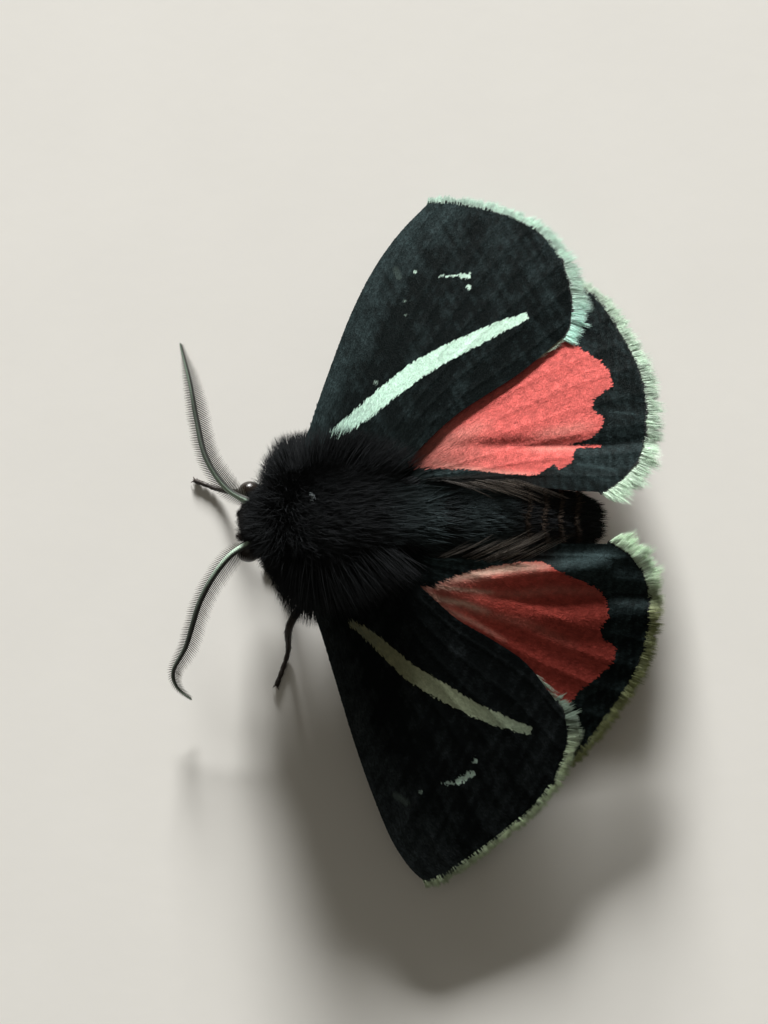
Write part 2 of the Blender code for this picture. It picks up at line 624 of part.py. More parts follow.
def build():
    """Every piece of the moth."""
    body = ball("thorax", THORAX, segments=22, rings=12)
    fuse(body, thorax_coat())
    head = ball("head", HEAD, segments=18, rings=10)
    fuse(head, head_coat())
    tail = abdomen("abdomen")
    fuse(tail, tail_tuft())
    wings, legs, feelers, eyes, palps, rooms = [], [], [], [], [], []
    for side, sign in SIDES.items():
        wings.append(wing("forewing_" + side, FOREWING, sign))
        wings.append(wing("hindwing_" + side, HINDWING, sign))
        eyes.append(ball("eye_" + side, eye_lump(sign), segments=14, rings=8))
        shaft = limb("antenna_" + side, ANTENNAE[side], SHAFT_RADII, samples=18)
        fuse(shaft, rays(ANTENNAE[side], sign))
        feelers.append(shaft)
        palp = [(sign * x, y, z) for x, y, z in PALP]
        palps.append(limb("palp_" + side, palp, PALP_RADII, samples=7))
        rooms += [limb_room(ANTENNAE[side], SHAFT_RADII, HEAD), limb_room(palp, PALP_RADII, HEAD)]
    for name, points in LEGS.items():
        leg = limb(name, points, LEG_RADII)
        fuse(leg, claws(points))
        legs.append(leg)

    # Each piece is cut clear of the lump that it grows from, and coats are cut clear of limbs
    cut(wings + legs, [ball("thorax_room", THORAX, "cutters", grow=GAP)])
    cut(wings, [abdomen("abdomen_room", GAP, "cutters")])
    cut(legs, [floor_cutter()])
    cut([body], [ball("head_room", HEAD_ROOM, "cutters", grow=GAP), abdomen("rear_room", GAP, "cutters")])
    cut([body], [limb_room(points, LEG_RADII, THORAX) for points in LEGS.values()])
    cut(feelers + palps, [ball("head_room", HEAD, "cutters", grow=GAP)])
    cut([head], rooms)
    for sign in SIDES.values():
        cut([head, *feelers, *palps], [ball("eye_room", eye_lump(sign, GAP), "cutters", 14, 8)])

    for obj in (body, head, tail):
        finish(obj, "fur")
    for obj in wings:
        finish(obj, obj.name.split("_")[0])
    for obj in legs + palps:
        finish(obj, "leg")
    for obj in feelers:
        finish(obj, "feeler")
    for obj in eyes:
        finish(obj, "eye")


for old in list(bpy.data.objects):
    bpy.data.objects.remove(old)
build()
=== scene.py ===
"""The finished look of a small tiger moth at rest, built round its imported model.

Lengths in arrays are millimetres from the thorax's middle line, with the head
toward -Y and the moth's left side toward +X. A mesh gets them in metres in the
shared frame. The floor is z = 0.
"""
import math

import bpy
import numpy as np
from bpy.props import FloatProperty, FloatVectorProperty, IntProperty, PointerProperty
from mathutils import Matrix, Vector


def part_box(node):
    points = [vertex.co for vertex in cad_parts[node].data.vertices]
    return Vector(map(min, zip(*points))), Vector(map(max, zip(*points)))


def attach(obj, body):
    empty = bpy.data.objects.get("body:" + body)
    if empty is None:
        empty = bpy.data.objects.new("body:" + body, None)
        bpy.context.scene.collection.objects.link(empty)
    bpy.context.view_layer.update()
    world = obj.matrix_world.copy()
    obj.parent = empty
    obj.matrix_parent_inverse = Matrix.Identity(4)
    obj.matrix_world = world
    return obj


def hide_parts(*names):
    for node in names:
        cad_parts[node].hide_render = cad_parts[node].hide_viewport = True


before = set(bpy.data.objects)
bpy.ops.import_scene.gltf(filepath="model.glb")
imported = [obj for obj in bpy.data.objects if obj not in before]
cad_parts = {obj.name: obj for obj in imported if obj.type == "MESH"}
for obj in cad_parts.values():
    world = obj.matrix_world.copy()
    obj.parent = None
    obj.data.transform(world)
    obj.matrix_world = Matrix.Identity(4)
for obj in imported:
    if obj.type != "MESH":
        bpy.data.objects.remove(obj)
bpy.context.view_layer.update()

bl_info = {
    "name": "Tiger moth",
    "version": (1, 0, 0),
    "blender": (4, 5, 0),
    "location": "3D View > Sidebar > Moth",
    "description": "Builds the fur, wings, feelers, eyes and legs of a tiger moth round its packed model",
    "category": "Object",
}

MM = 0.001
SIDES = {"left": 1, "right": -1}
REARWARD = np.array([0.0, 1.0, 0.0])
TINT = "tint"
TUFT_MAP = "OFBake"
TUFT_PATCH = 0.003
# What every colour setting has in common
COLOUR = {"subtype": "COLOR", "size": 3, "min": 0, "max": 1}
# The seed of each piece's random numbers
SEEDS = {"thorax": 11, "head": 12, "abdomen": 13, "shoulder": 14, "fleck": 15, "rings": 16, "scales": 21,
         "fringe": 31, "corner": 33, "costa": 34, "wing hairs": 41, "feeler": 51, "legs": 61, "palp": 71}

# The eye's place from the thorax's middle line: its box in the frame gives the frame's own origin
EYE_PLACE = np.array([1.42, -7.6])
EYE_LOW, EYE_HIGH = (np.array(corner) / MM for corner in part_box("eye_left"))
CENTRE = np.append(EYE_PLACE - (EYE_LOW + EYE_HIGH)[:2] / 2, 0.0)
EYE_RADIUS = (EYE_HIGH - EYE_LOW)[2] / 2
EYE_HEIGHT = (EYE_HIGH + EYE_LOW)[2] / 2
# The eye shows a little deeper in the fur than its solid, and is a little flatter sideways
EYE_INSET = 0.1
EYE_STRETCH = [0.86, 0.97, 0.97]

# The skin under the fur, from the face to the tail: y, z, half width, half height
BODY = [(-7.62, 3.45, 0.0, 0.0), (-7.5, 3.45, 0.6, 0.58), (-7.05, 3.5, 1.06, 1.0), (-6.5, 3.55, 1.25, 1.12),
        (-6.1, 3.7, 1.6, 1.3), (-5.5, 3.95, 2.35, 1.75), (-4.5, 4.1, 2.85, 2.1), (-3.4, 4.12, 2.95, 2.2),
        (-2.2, 4.05, 2.7, 2.05), (-1.0, 3.85, 2.15, 1.7), (-0.1, 3.6, 1.65, 1.42), (0.8, 3.4, 1.45, 1.32),
        (2.2, 3.3, 1.52, 1.4), (4.4, 3.1, 1.4, 1.3), (5.8, 2.95, 1.22, 1.15), (6.7, 2.85, 1.05, 0.98),
        (7.15, 2.8, 0.78, 0.72), (7.38, 2.76, 0.4, 0.38), (7.44, 2.75, 0.0, 0.0)]
NECK = -6.2
WAIST = 0.2
# Where each segment of the abdomen ends, and how far its rear edge stands over the next
SEGMENT_EDGES = [0.6, 1.5, 2.4, 3.25, 4.05, 4.78, 5.47, 6.12, 6.78, 7.44]
SEGMENT_STEP = 0.05
# The segments whose rear edges have a ring of brown hairs, and how many hairs each ring has
RING_SEGMENTS = SEGMENT_EDGES[5:9]
RING_HAIRS = 330

# Wings: a sloping surface over the plan, lower outward and rearward
MEMBRANE = 0.07
# The share of its thickness that the sheet loses toward the edge, and how much darker its underside is
MEMBRANE_TAPER = 0.6
UNDERSIDE = 0.8
# Where a wing is hinged, how steeply it falls outward and rearward, and how far its tip droops besides
HINGE = (2.5, -3.0, 5.3)
WING_REACH = 12.5
SLOPE = math.radians(12.0)
FALL = math.radians(4.0)
DROOP = 0.35
# The place along the body that a wing's skew leaves where it is
SKEW_PIVOT = 1.6
VEIN = {"height": 0.014, "half_width": 0.1}
FOREWING = {
    "skew": 0.09,
    "drop": 0.08,
    "length": 14.5,
    "breadth": 9.0,
    # Each vein: its place across the root, its place along the outer edge, and where it starts
    "veins": [(0.13, 0.05, 0.0), (0.27, 0.13, 0.0), (0.36, 0.24, 0.5), (0.43, 0.34, 0.5), (0.5, 0.45, 0.5),
              (0.57, 0.56, 0.5), (0.64, 0.67, 0.0), (0.74, 0.79, 0.3), (0.87, 0.92, 0.0)],
    "pleat": 0.01,
    # Bends of the sheet: place across the wing, half width in millimetres at the edge, and height there
    "bends": [(1.0, 2.2, -0.24)],
    "folds": [],
    "fringe": [(0.0, 0.5), (0.05, 0.6), (0.3, 0.72), (0.6, 0.84), (0.9, 1.05), (1.0, 0.85)],
}
HINDWING = {
    "skew": 0.04,
    "drop": 0.5,
    "length": 11.0,
    "breadth": 9.5,
    "veins": [(0.12, 0.1, 0.0), (0.25, 0.22, 0.0), (0.36, 0.34, 0.5), (0.47, 0.45, 0.5), (0.58, 0.56, 0.5),
              (0.69, 0.68, 0.0), (0.8, 0.79, 0.0), (0.9, 0.9, 0.0)],
    "pleat": 0.014,
    "costa": [(1.2, -2.0), (3.2, -1.3), (6.2, 0.8), (8.8, 3.4), (10.5, 6.3)],
    "fringe": [(0.0, 0.65), (0.3, 0.85), (0.6, 0.95), (0.78, 1.1), (0.9, 1.3), (1.0, 1.15)],
}
# The moth holds its wings a little differently on its two sides
WINGS = {
    "forewing": {
        "right": {
            **FOREWING,
            "costa": [(1.2, -5.1), (3.4, -4.86), (5.0, -4.5), (7.37, -3.86), (9.8, -3.12), (11.88, -2.23),
                      (13.47, -1.22), (14.85, 0.0)],
            "outer": [(14.85, 0.0), (14.62, 1.22), (14.0, 3.1), (12.95, 4.8), (11.35, 5.94), (9.53, 6.39),
                      (8.3, 6.36), (7.71, 6.12)],
            "inner": [(1.2, -1.4), (3.03, 0.14), (4.45, 1.64), (5.29, 2.94), (6.13, 4.26), (7.71, 6.12)],
        },
        "left": {
            **FOREWING,
            "costa": [(1.2, -4.85), (3.4, -4.35), (5.24, -3.8), (7.47, -3.18), (9.7, -2.54), (11.95, -1.78),
                      (13.6, -1.1), (14.75, -0.35), (15.27, 0.2)],
            "outer": [(15.27, 0.2), (15.1, 0.8), (14.34, 2.22), (13.35, 3.68), (12.26, 5.05), (11.0, 5.93),
                      (9.6, 6.26), (8.65, 6.12), (8.19, 5.85)],
            "inner": [(1.2, -1.4), (2.93, 0.22), (4.4, 1.74), (5.27, 3.04), (6.42, 4.56), (8.19, 5.85)],
        },
    },
    "hindwing": {
        "right": {
            **HINDWING,
            "outer": [(10.5, 6.3), (9.84, 7.36), (8.09, 8.51), (5.97, 9.43), (3.9, 9.66), (2.36, 9.4), (1.6, 8.93),
                      (1.05, 8.29), (0.76, 7.8)],
            "inner": [(1.2, -0.2), (1.5, 0.5), (1.35, 1.76), (1.25, 3.43), (1.1, 4.91), (0.88, 6.5), (0.76, 7.8)],
            "bends": [(0.5, 1.4, 0.12)],
            # Folds of the sheet: a line in plan, half width and height
            "folds": [([(3.02, 0.51), (2.97, 4.1), (2.81, 7.63), (2.97, 9.88)], 0.28, -0.09),
                      ([(3.31, 1.35), (3.65, 5.41), (3.83, 7.75), (3.9, 9.8)], 0.5, 0.06)],
        },
        "left": {
            **HINDWING,
            "outer": [(10.5, 6.3), (9.61, 7.11), (8.45, 8.0), (6.85, 9.11), (5.03, 9.68), (3.19, 9.64), (2.1, 9.05),
                      (1.47, 8.13)],
            "inner": [(1.2, -0.2), (1.6, 0.8), (1.5, 1.7), (1.42, 3.0), (1.38, 4.56), (1.4, 6.32), (1.47, 8.13)],
            "bends": [(0.5, 1.4, 0.08)],
            "pleat": 0.035,
            "folds": [([(2.85, 1.2), (2.74, 3.39), (2.6, 5.29), (2.45, 7.77)], 0.45, 0.29),
                      ([(2.95, 1.65), (3.3, 5.28), (3.49, 7.8), (3.64, 9.85)], 0.4, -0.12),
                      ([(3.24, 1.86), (3.83, 3.33), (4.37, 4.63), (4.51, 8.09), (4.51, 9.85)], 0.5, 0.13)],
        },
    },
}

# A wing scale's five corners, in shares of its half width and its length, and its three faces
SCALE_OUTLINE = np.array([(-0.6, 0.0), (0.6, 0.0), (1.0, 0.7), (0.0, 1.0), (-1.0, 0.7)])
SCALE_FACES = np.array([(0, 1, 2), (0, 2, 4), (4, 2, 3)])
SCALE_GLOSS = {"forewing": 0.04, "hindwing": 0.05}
# Shares of a scale's length: from row to row, from scale to scale, its half width, and how far it starts back
SCALE = {"row": 0.48, "gap": 0.4, "half_width": 0.24, "back": 0.3}
# In millimetres: how far a scale's root stands off the sheet, and how far its middle is raised
SCALE_LIFT = 0.004
SCALE_CROWN = 0.012
# The fringe: how many pale scales each wing has, and how broad a clump of them is
FRINGE_COUNT = {"forewing": 7400, "hindwing": 6400}
FRINGE_CLUMP = 0.2
# Its tone at the front and at the rear, and the places along the edge between which it changes: painted light and
# shade, darker where the left fringes lie in shade, lighter at the rear of the right fringes where the strands point
# away from the light and of the left hindwing's where it catches the light
FRINGE_LIGHT_AND_SHADE = {
    "forewing": {"right": ([1.0, 1.0, 1.0], [1.15, 1.3, 1.35], 0.78, 0.92),
                 "left": ([0.95, 0.86, 0.66], [0.42, 0.42, 0.39], 0.76, 0.92)},
    "hindwing": {"right": ([1.0, 1.0, 1.0], [1.22, 1.22, 1.22], 0.6, 0.85),
                 "left": ([0.46, 0.41, 0.23], [1.32, 1.32, 1.25], 0.65, 0.85)},
}
# How many dark scales lie over the fringe's base, and how broad a clump of them is
TEETH_COUNT = 1700
TEETH_CLUMP = 0.19

# Markings on the wings' plan: the pale streak's middle line with its half widths
STREAK = {
    "right": [(3.9, -3.5), (4.75, -2.4), (5.71, -1.3), (6.52, -0.3), (7.13, 0.75), (7.71, 2.0), (8.26, 3.2),
              (8.7, 4.35)],
    "left": [(4.1, -2.75), (4.75, -1.95), (5.6, -1.1), (6.35, -0.37), (7.0, 0.53), (7.64, 1.54), (8.27, 2.55),
             (8.75, 3.5), (9.2, 4.6)],
}
STREAK_HALF_WIDTHS = {
    "right": [0.27, 0.38, 0.43, 0.44, 0.42, 0.36, 0.29, 0.21],
    # The left streak is narrower toward the root, partly where fur covers it and partly as painted shade
    "left": [0.13, 0.22, 0.3, 0.34, 0.34, 0.3, 0.26, 0.19],
}
# The black's tone on each forewing and how much of the blue-grey sheen it has: the left's warmer black with less
# blue-grey is painted shade
FOREWING_SHADE_TONE = {"right": [1.0, 1.0, 1.0], "left": [1.26, 1.0, 1.04]}
FOREWING_SHADE_SHEEN = {"right": 1.0, "left": 0.7}
# The streak's tone at its two ends on each wing, and how bright it is along it: the left streak's dim olive-brown is
# painted shade, darkest toward the body
STREAK_SHADE_TONE = {"right": [(1.1, 1.17, 1.15), (1.15, 1.17, 1.15)], "left": [(0.97, 0.70, 0.44), (0.95, 0.87, 0.74)]}
STREAK_PAINTED_SHADE = {
    "right": [(0.0, 0.9), (0.3, 1.0), (1.0, 1.0)],
    "left": [(0.0, 0.36), (0.5, 0.48), (0.75, 0.64), (1.0, 0.52)],
}
# Pale marks on the right and on the left wing: two ends, radius, and how pale
MARKS = {
    "right": [((10.99, 1.52), (10.95, 1.88), 0.12, 1.0), ((11.02, 0.92), (10.99, 1.5), 0.045, 0.9),
              ((11.05, 0.62), (11.04, 0.8), 0.035, 0.6), ((10.4, 1.93), (10.28, 1.98), 0.075, 0.9),
              ((11.4, -0.5), (11.28, -0.47), 0.06, 0.7), ((11.6, -1.36), (11.15, -1.18), 0.12, 0.045),
              ((9.97, -0.92), (9.95, -0.84), 0.035, 0.3), ((9.3, -0.84), (9.28, -0.76), 0.03, 0.2),
              ((6.18, -1.98), (6.14, -1.9), 0.05, 0.4)],
    "left": [((11.12, 1.68), (10.86, 2.24), 0.12, 0.75), ((11.17, 1.02), (11.16, 1.62), 0.05, 0.55),
             ((10.33, 2.38), (10.28, 2.42), 0.075, 0.55), ((11.85, -0.55), (11.5, -1.0), 0.12, 0.06),
             ((11.45, 0.05), (11.42, 0.1), 0.05, 0.35)],
}
# The red field's outline, from the front edge round by the scalloped border to the rear edge
RED_FIELD = {
    "right": [(3.0, -1.6), (9.6, 4.4), (7.99, 6.26), (7.46, 6.62), (7.11, 7.12), (6.73, 7.68), (6.13, 8.12),
              (5.53, 8.27), (5.28, 7.86), (4.9, 7.42), (4.45, 7.36), (4.15, 7.8), (3.85, 7.9), (3.6, 7.75),
              (3.3, 7.5), (3.08, 7.0), (3.0, 6.3), (2.93, 6.4), (2.86, 7.75), (2.76, 7.7), (2.72, 6.75), (2.6, 6.58),
              (2.13, 6.55), (1.8, 6.0), (2.05, 5.75), (1.58, 5.03), (1.72, 3.54), (1.91, 2.26), (2.0, 0.97),
              (2.1, -0.3)],
    "left": [(3.1, -1.6), (9.7, 4.5), (7.98, 6.4), (7.4, 6.82), (7.09, 7.38), (6.71, 7.85), (6.32, 8.25),
             (5.75, 8.4), (5.4, 7.85), (4.95, 7.7), (4.5, 8.05), (3.9, 8.0), (3.4, 7.75), (2.95, 7.05),
             (2.75, 6.5), (2.47, 5.85), (2.12, 5.3), (2.08, 4.41), (2.31, 2.72), (2.6, 1.44), (2.91, 0.67)],
}
# Paler rays of the red field, some of them painted highlights where the sheet faces the light: a line in plan, half
# width and strength
RED_RAYS_AND_HIGHLIGHTS = {
    "right": [([(2.3, 0.6), (2.0, 1.6), (1.86, 2.6), (1.74, 3.8), (1.64, 5.1)], 0.13, 0.9),
              # The broad one beside the fold is a painted highlight
              ([(3.35, 4.9), (3.75, 7.4)], 0.26, 0.45), ([(2.8, 4.6), (2.74, 6.9)], 0.13, 0.6),
              ([(3.0, 0.8), (4.0, 3.0)], 0.35, 0.35)],
    # The first runs along the inner strip that faces the light and is a painted highlight
    "left": [([(2.8, 0.7), (2.6, 1.9), (2.42, 3.2), (2.32, 4.4), (2.35, 5.5)], 0.2, 1.0),
             ([(2.9, 0.1), (2.95, 0.9), (3.12, 1.9), (3.3, 3.2)], 0.09, 0.85),
             ([(3.0, 0.1), (3.45, 0.9), (3.7, 2.0), (4.1, 3.0)], 0.12, 0.85),
             ([(3.1, 0.2), (3.8, 1.0), (4.5, 2.4), (5.3, 3.7)], 0.11, 0.4),
             # These two are painted highlights along the folds
             ([(3.3, 2.4), (3.4, 4.2), (3.25, 5.6), (3.42, 7.9)], 0.22, 0.12),
             ([(3.6, 1.0), (4.1, 2.7), (4.7, 4.8), (5.6, 6.6)], 0.2, 0.1)],
}
# How bright the red is from root to edge, its tone and that of its paler rays: on the left the red's outward
# darkening and browner tone are painted shade, and the much paler rays are painted highlights
PAINTED_SHADE_OF_RED = {"right": [(0.0, 1.0), (1.0, 1.0)], "left": [(0.0, 1.0), (0.4, 0.85), (0.75, 0.58), (1.0, 0.5)]}
SHADED_TONE_OF_RED = {"right": [1.08, 1.09, 1.1], "left": [1.0, 0.8, 0.7]}
RAY_HIGHLIGHT_TONE = {"right": [1.0, 1.0, 1.0], "left": [1.28, 2.1, 2.05]}
# The dark line along each hindwing's fold, painted shade in the crease
FOLD_SHADE_LINE = {"right": [(2.98, 3.9), (2.97, 5.2), (2.9, 8.2), (2.97, 9.6)], "left": [(3.5, 8.2), (3.6, 9.6)]}
# Blue-grey marks on the hindwings' border, the left's broad one painted sheen on the strip by the rear edge that
# faces the light: two ends, radius and strength
BORDER_SHEEN_AND_MARKS = {
    "right": [((2.02, 6.8), (1.7, 8.36), 0.07, 0.5), ((4.32, 8.17), (4.19, 9.15), 0.06, 0.4),
              ((1.5, 7.2), (1.28, 7.99), 0.08, 0.4)],
    "left": [((2.1, 6.2), (1.85, 8.4), 0.3, 0.7)],
}

# Where fur keeps clear of the wings' bases: how far the wing hangs under the forewing's surface, and the places
# out from the middle line and along the body between which it lies
WING_BASES = [(0.0, 2.0, -5.4, 1.4), (HINDWING["drop"], 1.3, -1.6, math.inf)]
# How far fur keeps off a wing's middle surface, and off the floor
WING_ROOM = 0.07
FLOOR_ROOM = 0.05

# Fur: how many strands, how long, how high they stand, how thick their roots are and how big their clumps.
# The shoulders' strands end at the coat's outline, and their count is for the whole ring of the body there
FUR = {
    "thorax": {"count": 58000, "length": 1.05, "rise": 0.5, "width": 0.02, "clump": 0.3},
    "shoulder": {"count": 24600, "rise": 0.4, "width": 0.02, "clump": 0.3},
    "head": {"count": 8000, "length": 0.5, "rise": 0.3, "width": 0.021, "clump": 0.26},
    "abdomen": {"count": 14000, "length": 0.66, "rise": 0.1, "width": 0.026, "clump": 0.3},
}
# How deep in the skin a strand starts
ROOT_SINK = 0.08
# The reach of a strand whose way crosses no outline
NO_EDGE = 9.0
# The share of the fur under the body that is built
UNDER_SHARE = 0.18
# The long pale hairs of each hindwing: their roots' place across the wing, and how far they lean inward
WING_HAIRS = {"left": {"root": 0.8, "lean": 0.12}, "right": {"root": 0.92, "lean": 0.03}}
# How far the coat of the thorax reaches on each side, from the face back to the waist
COAT_OUTLINE = {
    "right": [(0.3, -7.9), (-0.56, -7.54), (-2.09, -6.83), (-2.75, -6.58), (-3.54, -6.07), (-3.78, -5.19),
              (-3.9, -3.86), (-3.8, -2.2), (-3.3, -0.6), (-2.4, 1.0), (-1.6, 2.6)],
    "left": [(-0.3, -7.9), (1.32, -7.35), (2.06, -6.72), (2.93, -6.12), (3.93, -5.75), (4.44, -5.43), (4.7, -4.77),
             (4.79, -4.2), (4.75, -3.25), (4.6, -2.2), (3.6, -0.6), (2.6, 1.0), (1.6, 2.6)],
}

# Legs: the path from hip to foot
LEGS = {
    "foreleg_left": [(0.9, -5.0, 2.8), (1.8, -5.8, 1.5), (2.2, -6.2, 1.1), (1.9, -6.7, 0.24), (1.5, -7.6, 0.12)],
    "foreleg_right": [(-0.9, -5.0, 2.8), (-1.3, -7.0, 1.5), (-1.6, -8.3, 1.3), (-2.0, -9.8, 0.3),
                      (-2.45, -11.0, 0.12)],
    "midleg_left": [(1.6, -4.0, 2.6), (3.2, -5.4, 1.5), (4.4, -6.15, 1.2), (5.5, -6.4, 0.24), (6.95, -6.9, 0.12)],
    "midleg_right": [(-1.6, -4.0, 2.6), (-3.4, -4.2, 1.5), (-4.3, -4.2, 1.2), (-5.2, -3.9, 0.24),
                     (-6.4, -3.5, 0.12)],
    "hindleg_left": [(1.2, -1.8, 2.6), (2.8, -0.2, 1.5), (3.5, 0.7, 1.3), (4.3, 3.2, 0.24), (4.8, 4.9, 0.12)],
    "hindleg_right": [(-1.2, -1.8, 2.6), (-2.8, -0.2, 1.5), (-3.5, 0.7, 1.3), (-4.3, 3.2, 0.24),
                      (-4.8, 4.9, 0.12)],
}
# A leg's radius along it: thigh, knee, shin, ankle and foot
LEG_PROFILE = [(0.0, 0.3), (0.12, 0.32), (0.3, 0.26), (0.42, 0.16), (0.47, 0.19), (0.62, 0.16), (0.7, 0.125),
               (0.73, 0.115), (0.95, 0.11), (1.0, 0.12)]
# Where the foot starts along the leg, and how many joints it has
FOOT_START = 0.72
FOOT_JOINTS = 5
# The left palp's path, and a palp's radius along it
PALP = [(0.45, -7.0, 2.6), (0.5, -7.7, 2.25), (0.5, -8.35, 2.45)]
PALP_PROFILE = [(0.0, 0.2), (0.3, 0.24), (0.6, 0.22), (0.66, 0.17), (0.85, 0.16), (1.0, 0.04)]
# A claw spreads from the foot's end, arches and drops, and a spur stands at a place along the leg
CLAW = {"length": 0.26, "radius": 0.04, "spread": math.radians(38), "overlap": 0.05, "arch": 0.06, "drop": 0.1}
SPUR = {"place": 0.68, "length": 0.4, "radius": 0.045, "spread": 0.4}
LIMB_SIDES = 14
HORN_SIDES = 8
LEG_TINT = np.array([0.014, 0.011, 0.01])
HAIR_WIDTH = 0.018
LEG_HAIRS = {"count": 1000, "length": 0.3}
PALP_HAIRS = {"count": 700, "length": 0.36}

# Feelers: the path from root to tip, and the shaft's radius along it
FEELERS = {
    "left": [(0.9, -7.2, 3.8), (1.5, -8.2, 3.9), (2.5, -9.15, 3.5), (3.6, -9.85, 3.0), (5.4, -10.6, 2.2),
             (6.5, -11.3, 1.6), (7.1, -11.2, 1.3), (7.65, -10.6, 0.9)],
    "right": [(-0.7, -7.3, 3.8), (-1.3, -8.4, 4.2), (-2.6, -9.3, 4.6), (-4.3, -9.75, 4.8),
              (-5.9, -10.05, 5.0), (-7.65, -10.5, 5.2)],
}
SHAFT_PROFILE = [(0.0, 0.16), (0.05, 0.17), (0.1, 0.135), (0.5, 0.125), (0.85, 0.085), (1.0, 0.04)]
SHAFT_SIDES = 12
# How pale the shaft's upper side is along each feeler
PALE_SHAFT = {
    "left": [(0.0, 1.0), (0.2, 0.9), (0.34, 0.25), (0.6, 0.12), (0.85, 0.2), (0.96, 0.7), (1.0, 0.7)],
    "right": [(0.0, 1.0), (0.2, 0.8), (0.4, 0.3), (0.65, 0.25), (0.8, 0.75), (0.97, 0.75), (1.0, 0.4)],
}
# How far the rays of each row reach
RAY_REACH = {"front": 0.52, "rear": 0.7}
# How long the rays are along the feeler, as a share of the longest
RAY_LENGTHS = [(0.0, 0.45), (0.08, 0.85), (0.18, 1.0), (0.6, 0.95), (0.8, 0.7), (0.93, 0.3), (1.0, 0.12)]

# The camera looks down on the moth, its image's right toward +Y and its foot toward +X
VIEW = {
    "across": math.radians(8.88), "ahead": math.radians(8.0), "turn": math.radians(0.43),
    "distance": 85.0, "target": (0.0, 0.0, 3.0), "target_pixel": (422.0, 521.8), "pixels_per_mm": 23.0,
}
IMAGE = (768, 1024)
SENSOR = 36.0

# The stage, in metres: half the floor's width, and each light's place, aim, width and colour
FLOOR_HALF = 3.0
KEY_LIGHT = {"place": (-1.12, -0.06, 0.333), "target": (0, 0, 0.003), "size": 0.26, "colour": (1.0, 1.0, 0.98)}
FILL_LIGHT = {"place": (0.02, 0.02, 0.6), "target": (0, 0, 0), "size": 0.4, "colour": (1.0, 0.95, 0.82)}
SKY_COLOUR = (1.0, 0.94, 0.8, 1)


class CoatSettings(bpy.types.PropertyGroup):
    """Colours and density of the fur."""
    black: FloatVectorProperty(
        name="Fur", description="Colour of the black fur", default=(0.0170, 0.0184, 0.0198), **COLOUR)
    brown: FloatVectorProperty(
        name="Brown hairs", description="Colour of the hairs on the face and round the abdomen's segments",
        default=(0.055, 0.036, 0.027), **COLOUR)
    # The sheen is painted: upward-facing hairs at the rear of the thorax and the front of the abdomen are lighter and
    # blue-grey
    sheen: FloatVectorProperty(
        name="Sheen", description="Colour of the hairs at the front of the abdomen",
        default=(0.044, 0.059, 0.062), **COLOUR)
    pale: FloatVectorProperty(
        name="Pale hairs", description="Colour of the long hairs along the hindwings' rear edges",
        default=(0.062, 0.050, 0.038), **COLOUR)
    fleck: FloatVectorProperty(
        name="Fleck", description="Colour of the few pale hairs on the back", default=(0.42, 0.47, 0.49), **COLOUR)
    density: FloatProperty(
        name="Density", description="Share of the fur's strands that are built", default=1.0, min=0.05, max=1.0,
        subtype="FACTOR")


class WingSettings(bpy.types.PropertyGroup):
    """Colours and scale sizes of the wings."""
    black: FloatVectorProperty(
        name="Black", description="Colour of the black scales", default=(0.0027, 0.0050, 0.0050), **COLOUR)
    sheen: FloatVectorProperty(
        name="Sheen", description="Colour of the blue-grey scales among the black ones",
        default=(0.028, 0.044, 0.046), **COLOUR)
    mint: FloatVectorProperty(
        name="Mint", description="Colour of the forewing's streak, marks and fringe",
        default=(0.57, 0.76, 0.65), **COLOUR)
    cream: FloatVectorProperty(
        name="Cream", description="Colour of the hindwing's fringe", default=(0.60, 0.75, 0.61), **COLOUR)
    red: FloatVectorProperty(
        name="Red", description="Colour of the hindwing's red field", default=(0.62, 0.125, 0.11), **COLOUR)
    salmon: FloatVectorProperty(
        name="Salmon", description="Colour of the paler rays in the red field", default=(0.74, 0.33, 0.27), **COLOUR)
    scale_length: FloatProperty(
        name="Scale length", description="Length of one wing scale", default=0.00014, min=0.00008, max=0.001,
        unit="LENGTH", precision=5)
    fringe_length: FloatProperty(
        name="Fringe length", description="Length of the fringe's longest scales", default=0.00085, min=0.0002,
        max=0.001, unit="LENGTH", precision=5)


class FeelerSettings(bpy.types.PropertyGroup):
    """Build of the feelers."""
    rays: IntProperty(
        name="Rays", description="Number of rays in each of a feeler's two rows", default=100, min=10, max=120)
    ray: FloatVectorProperty(
        name="Ray tips", description="Colour of the rays toward their tips", default=(0.058, 0.050, 0.040), **COLOUR)
    pale: FloatVectorProperty(
        name="Pale scales", description="Colour of the scales on the upper side of the feeler's base",
        default=(0.42, 0.55, 0.44), **COLOUR)
    dark: FloatVectorProperty(
        name="Shaft", description="Colour of the shaft and the rays", default=(0.035, 0.036, 0.032), **COLOUR)


class StageSettings(bpy.types.PropertyGroup):
    """Floor and light."""
    floor: FloatVectorProperty(
        name="Floor", description="Colour of the plain floor", default=(0.84, 0.82, 0.78), **COLOUR)
    key: FloatProperty(
        name="Key light", description="Power of the soft light from the moth's right", default=36.0, min=0,
        unit="POWER")
    fill: FloatProperty(
        name="Fill light", description="Power of the soft light from above", default=0.15, min=0, unit="POWER")
    sky: FloatProperty(
        name="Sky", description="Strength of the even light from all round", default=0.09, min=0)


class Value:
    """A socket of a finish that takes part in Python expressions, each of which adds a Math node."""

    def __init__(self, finish, socket):
        self.finish = finish
        self.socket = socket

    def maths(self, operation, first, second):
        """A Math node of two values."""
        return self.finish.node("ShaderNodeMath", {"operation": operation}, [first, second])

    def __add__(self, other):
        return self.maths("ADD", self, other)

    def __sub__(self, other):
        return self.maths("SUBTRACT", self, other)

    def __rsub__(self, other):
        return self.maths("SUBTRACT", other, self)

    def __mul__(self, other):
        return self.maths("MULTIPLY", self, other)

    __radd__ = __add__
    __rmul__ = __mul__


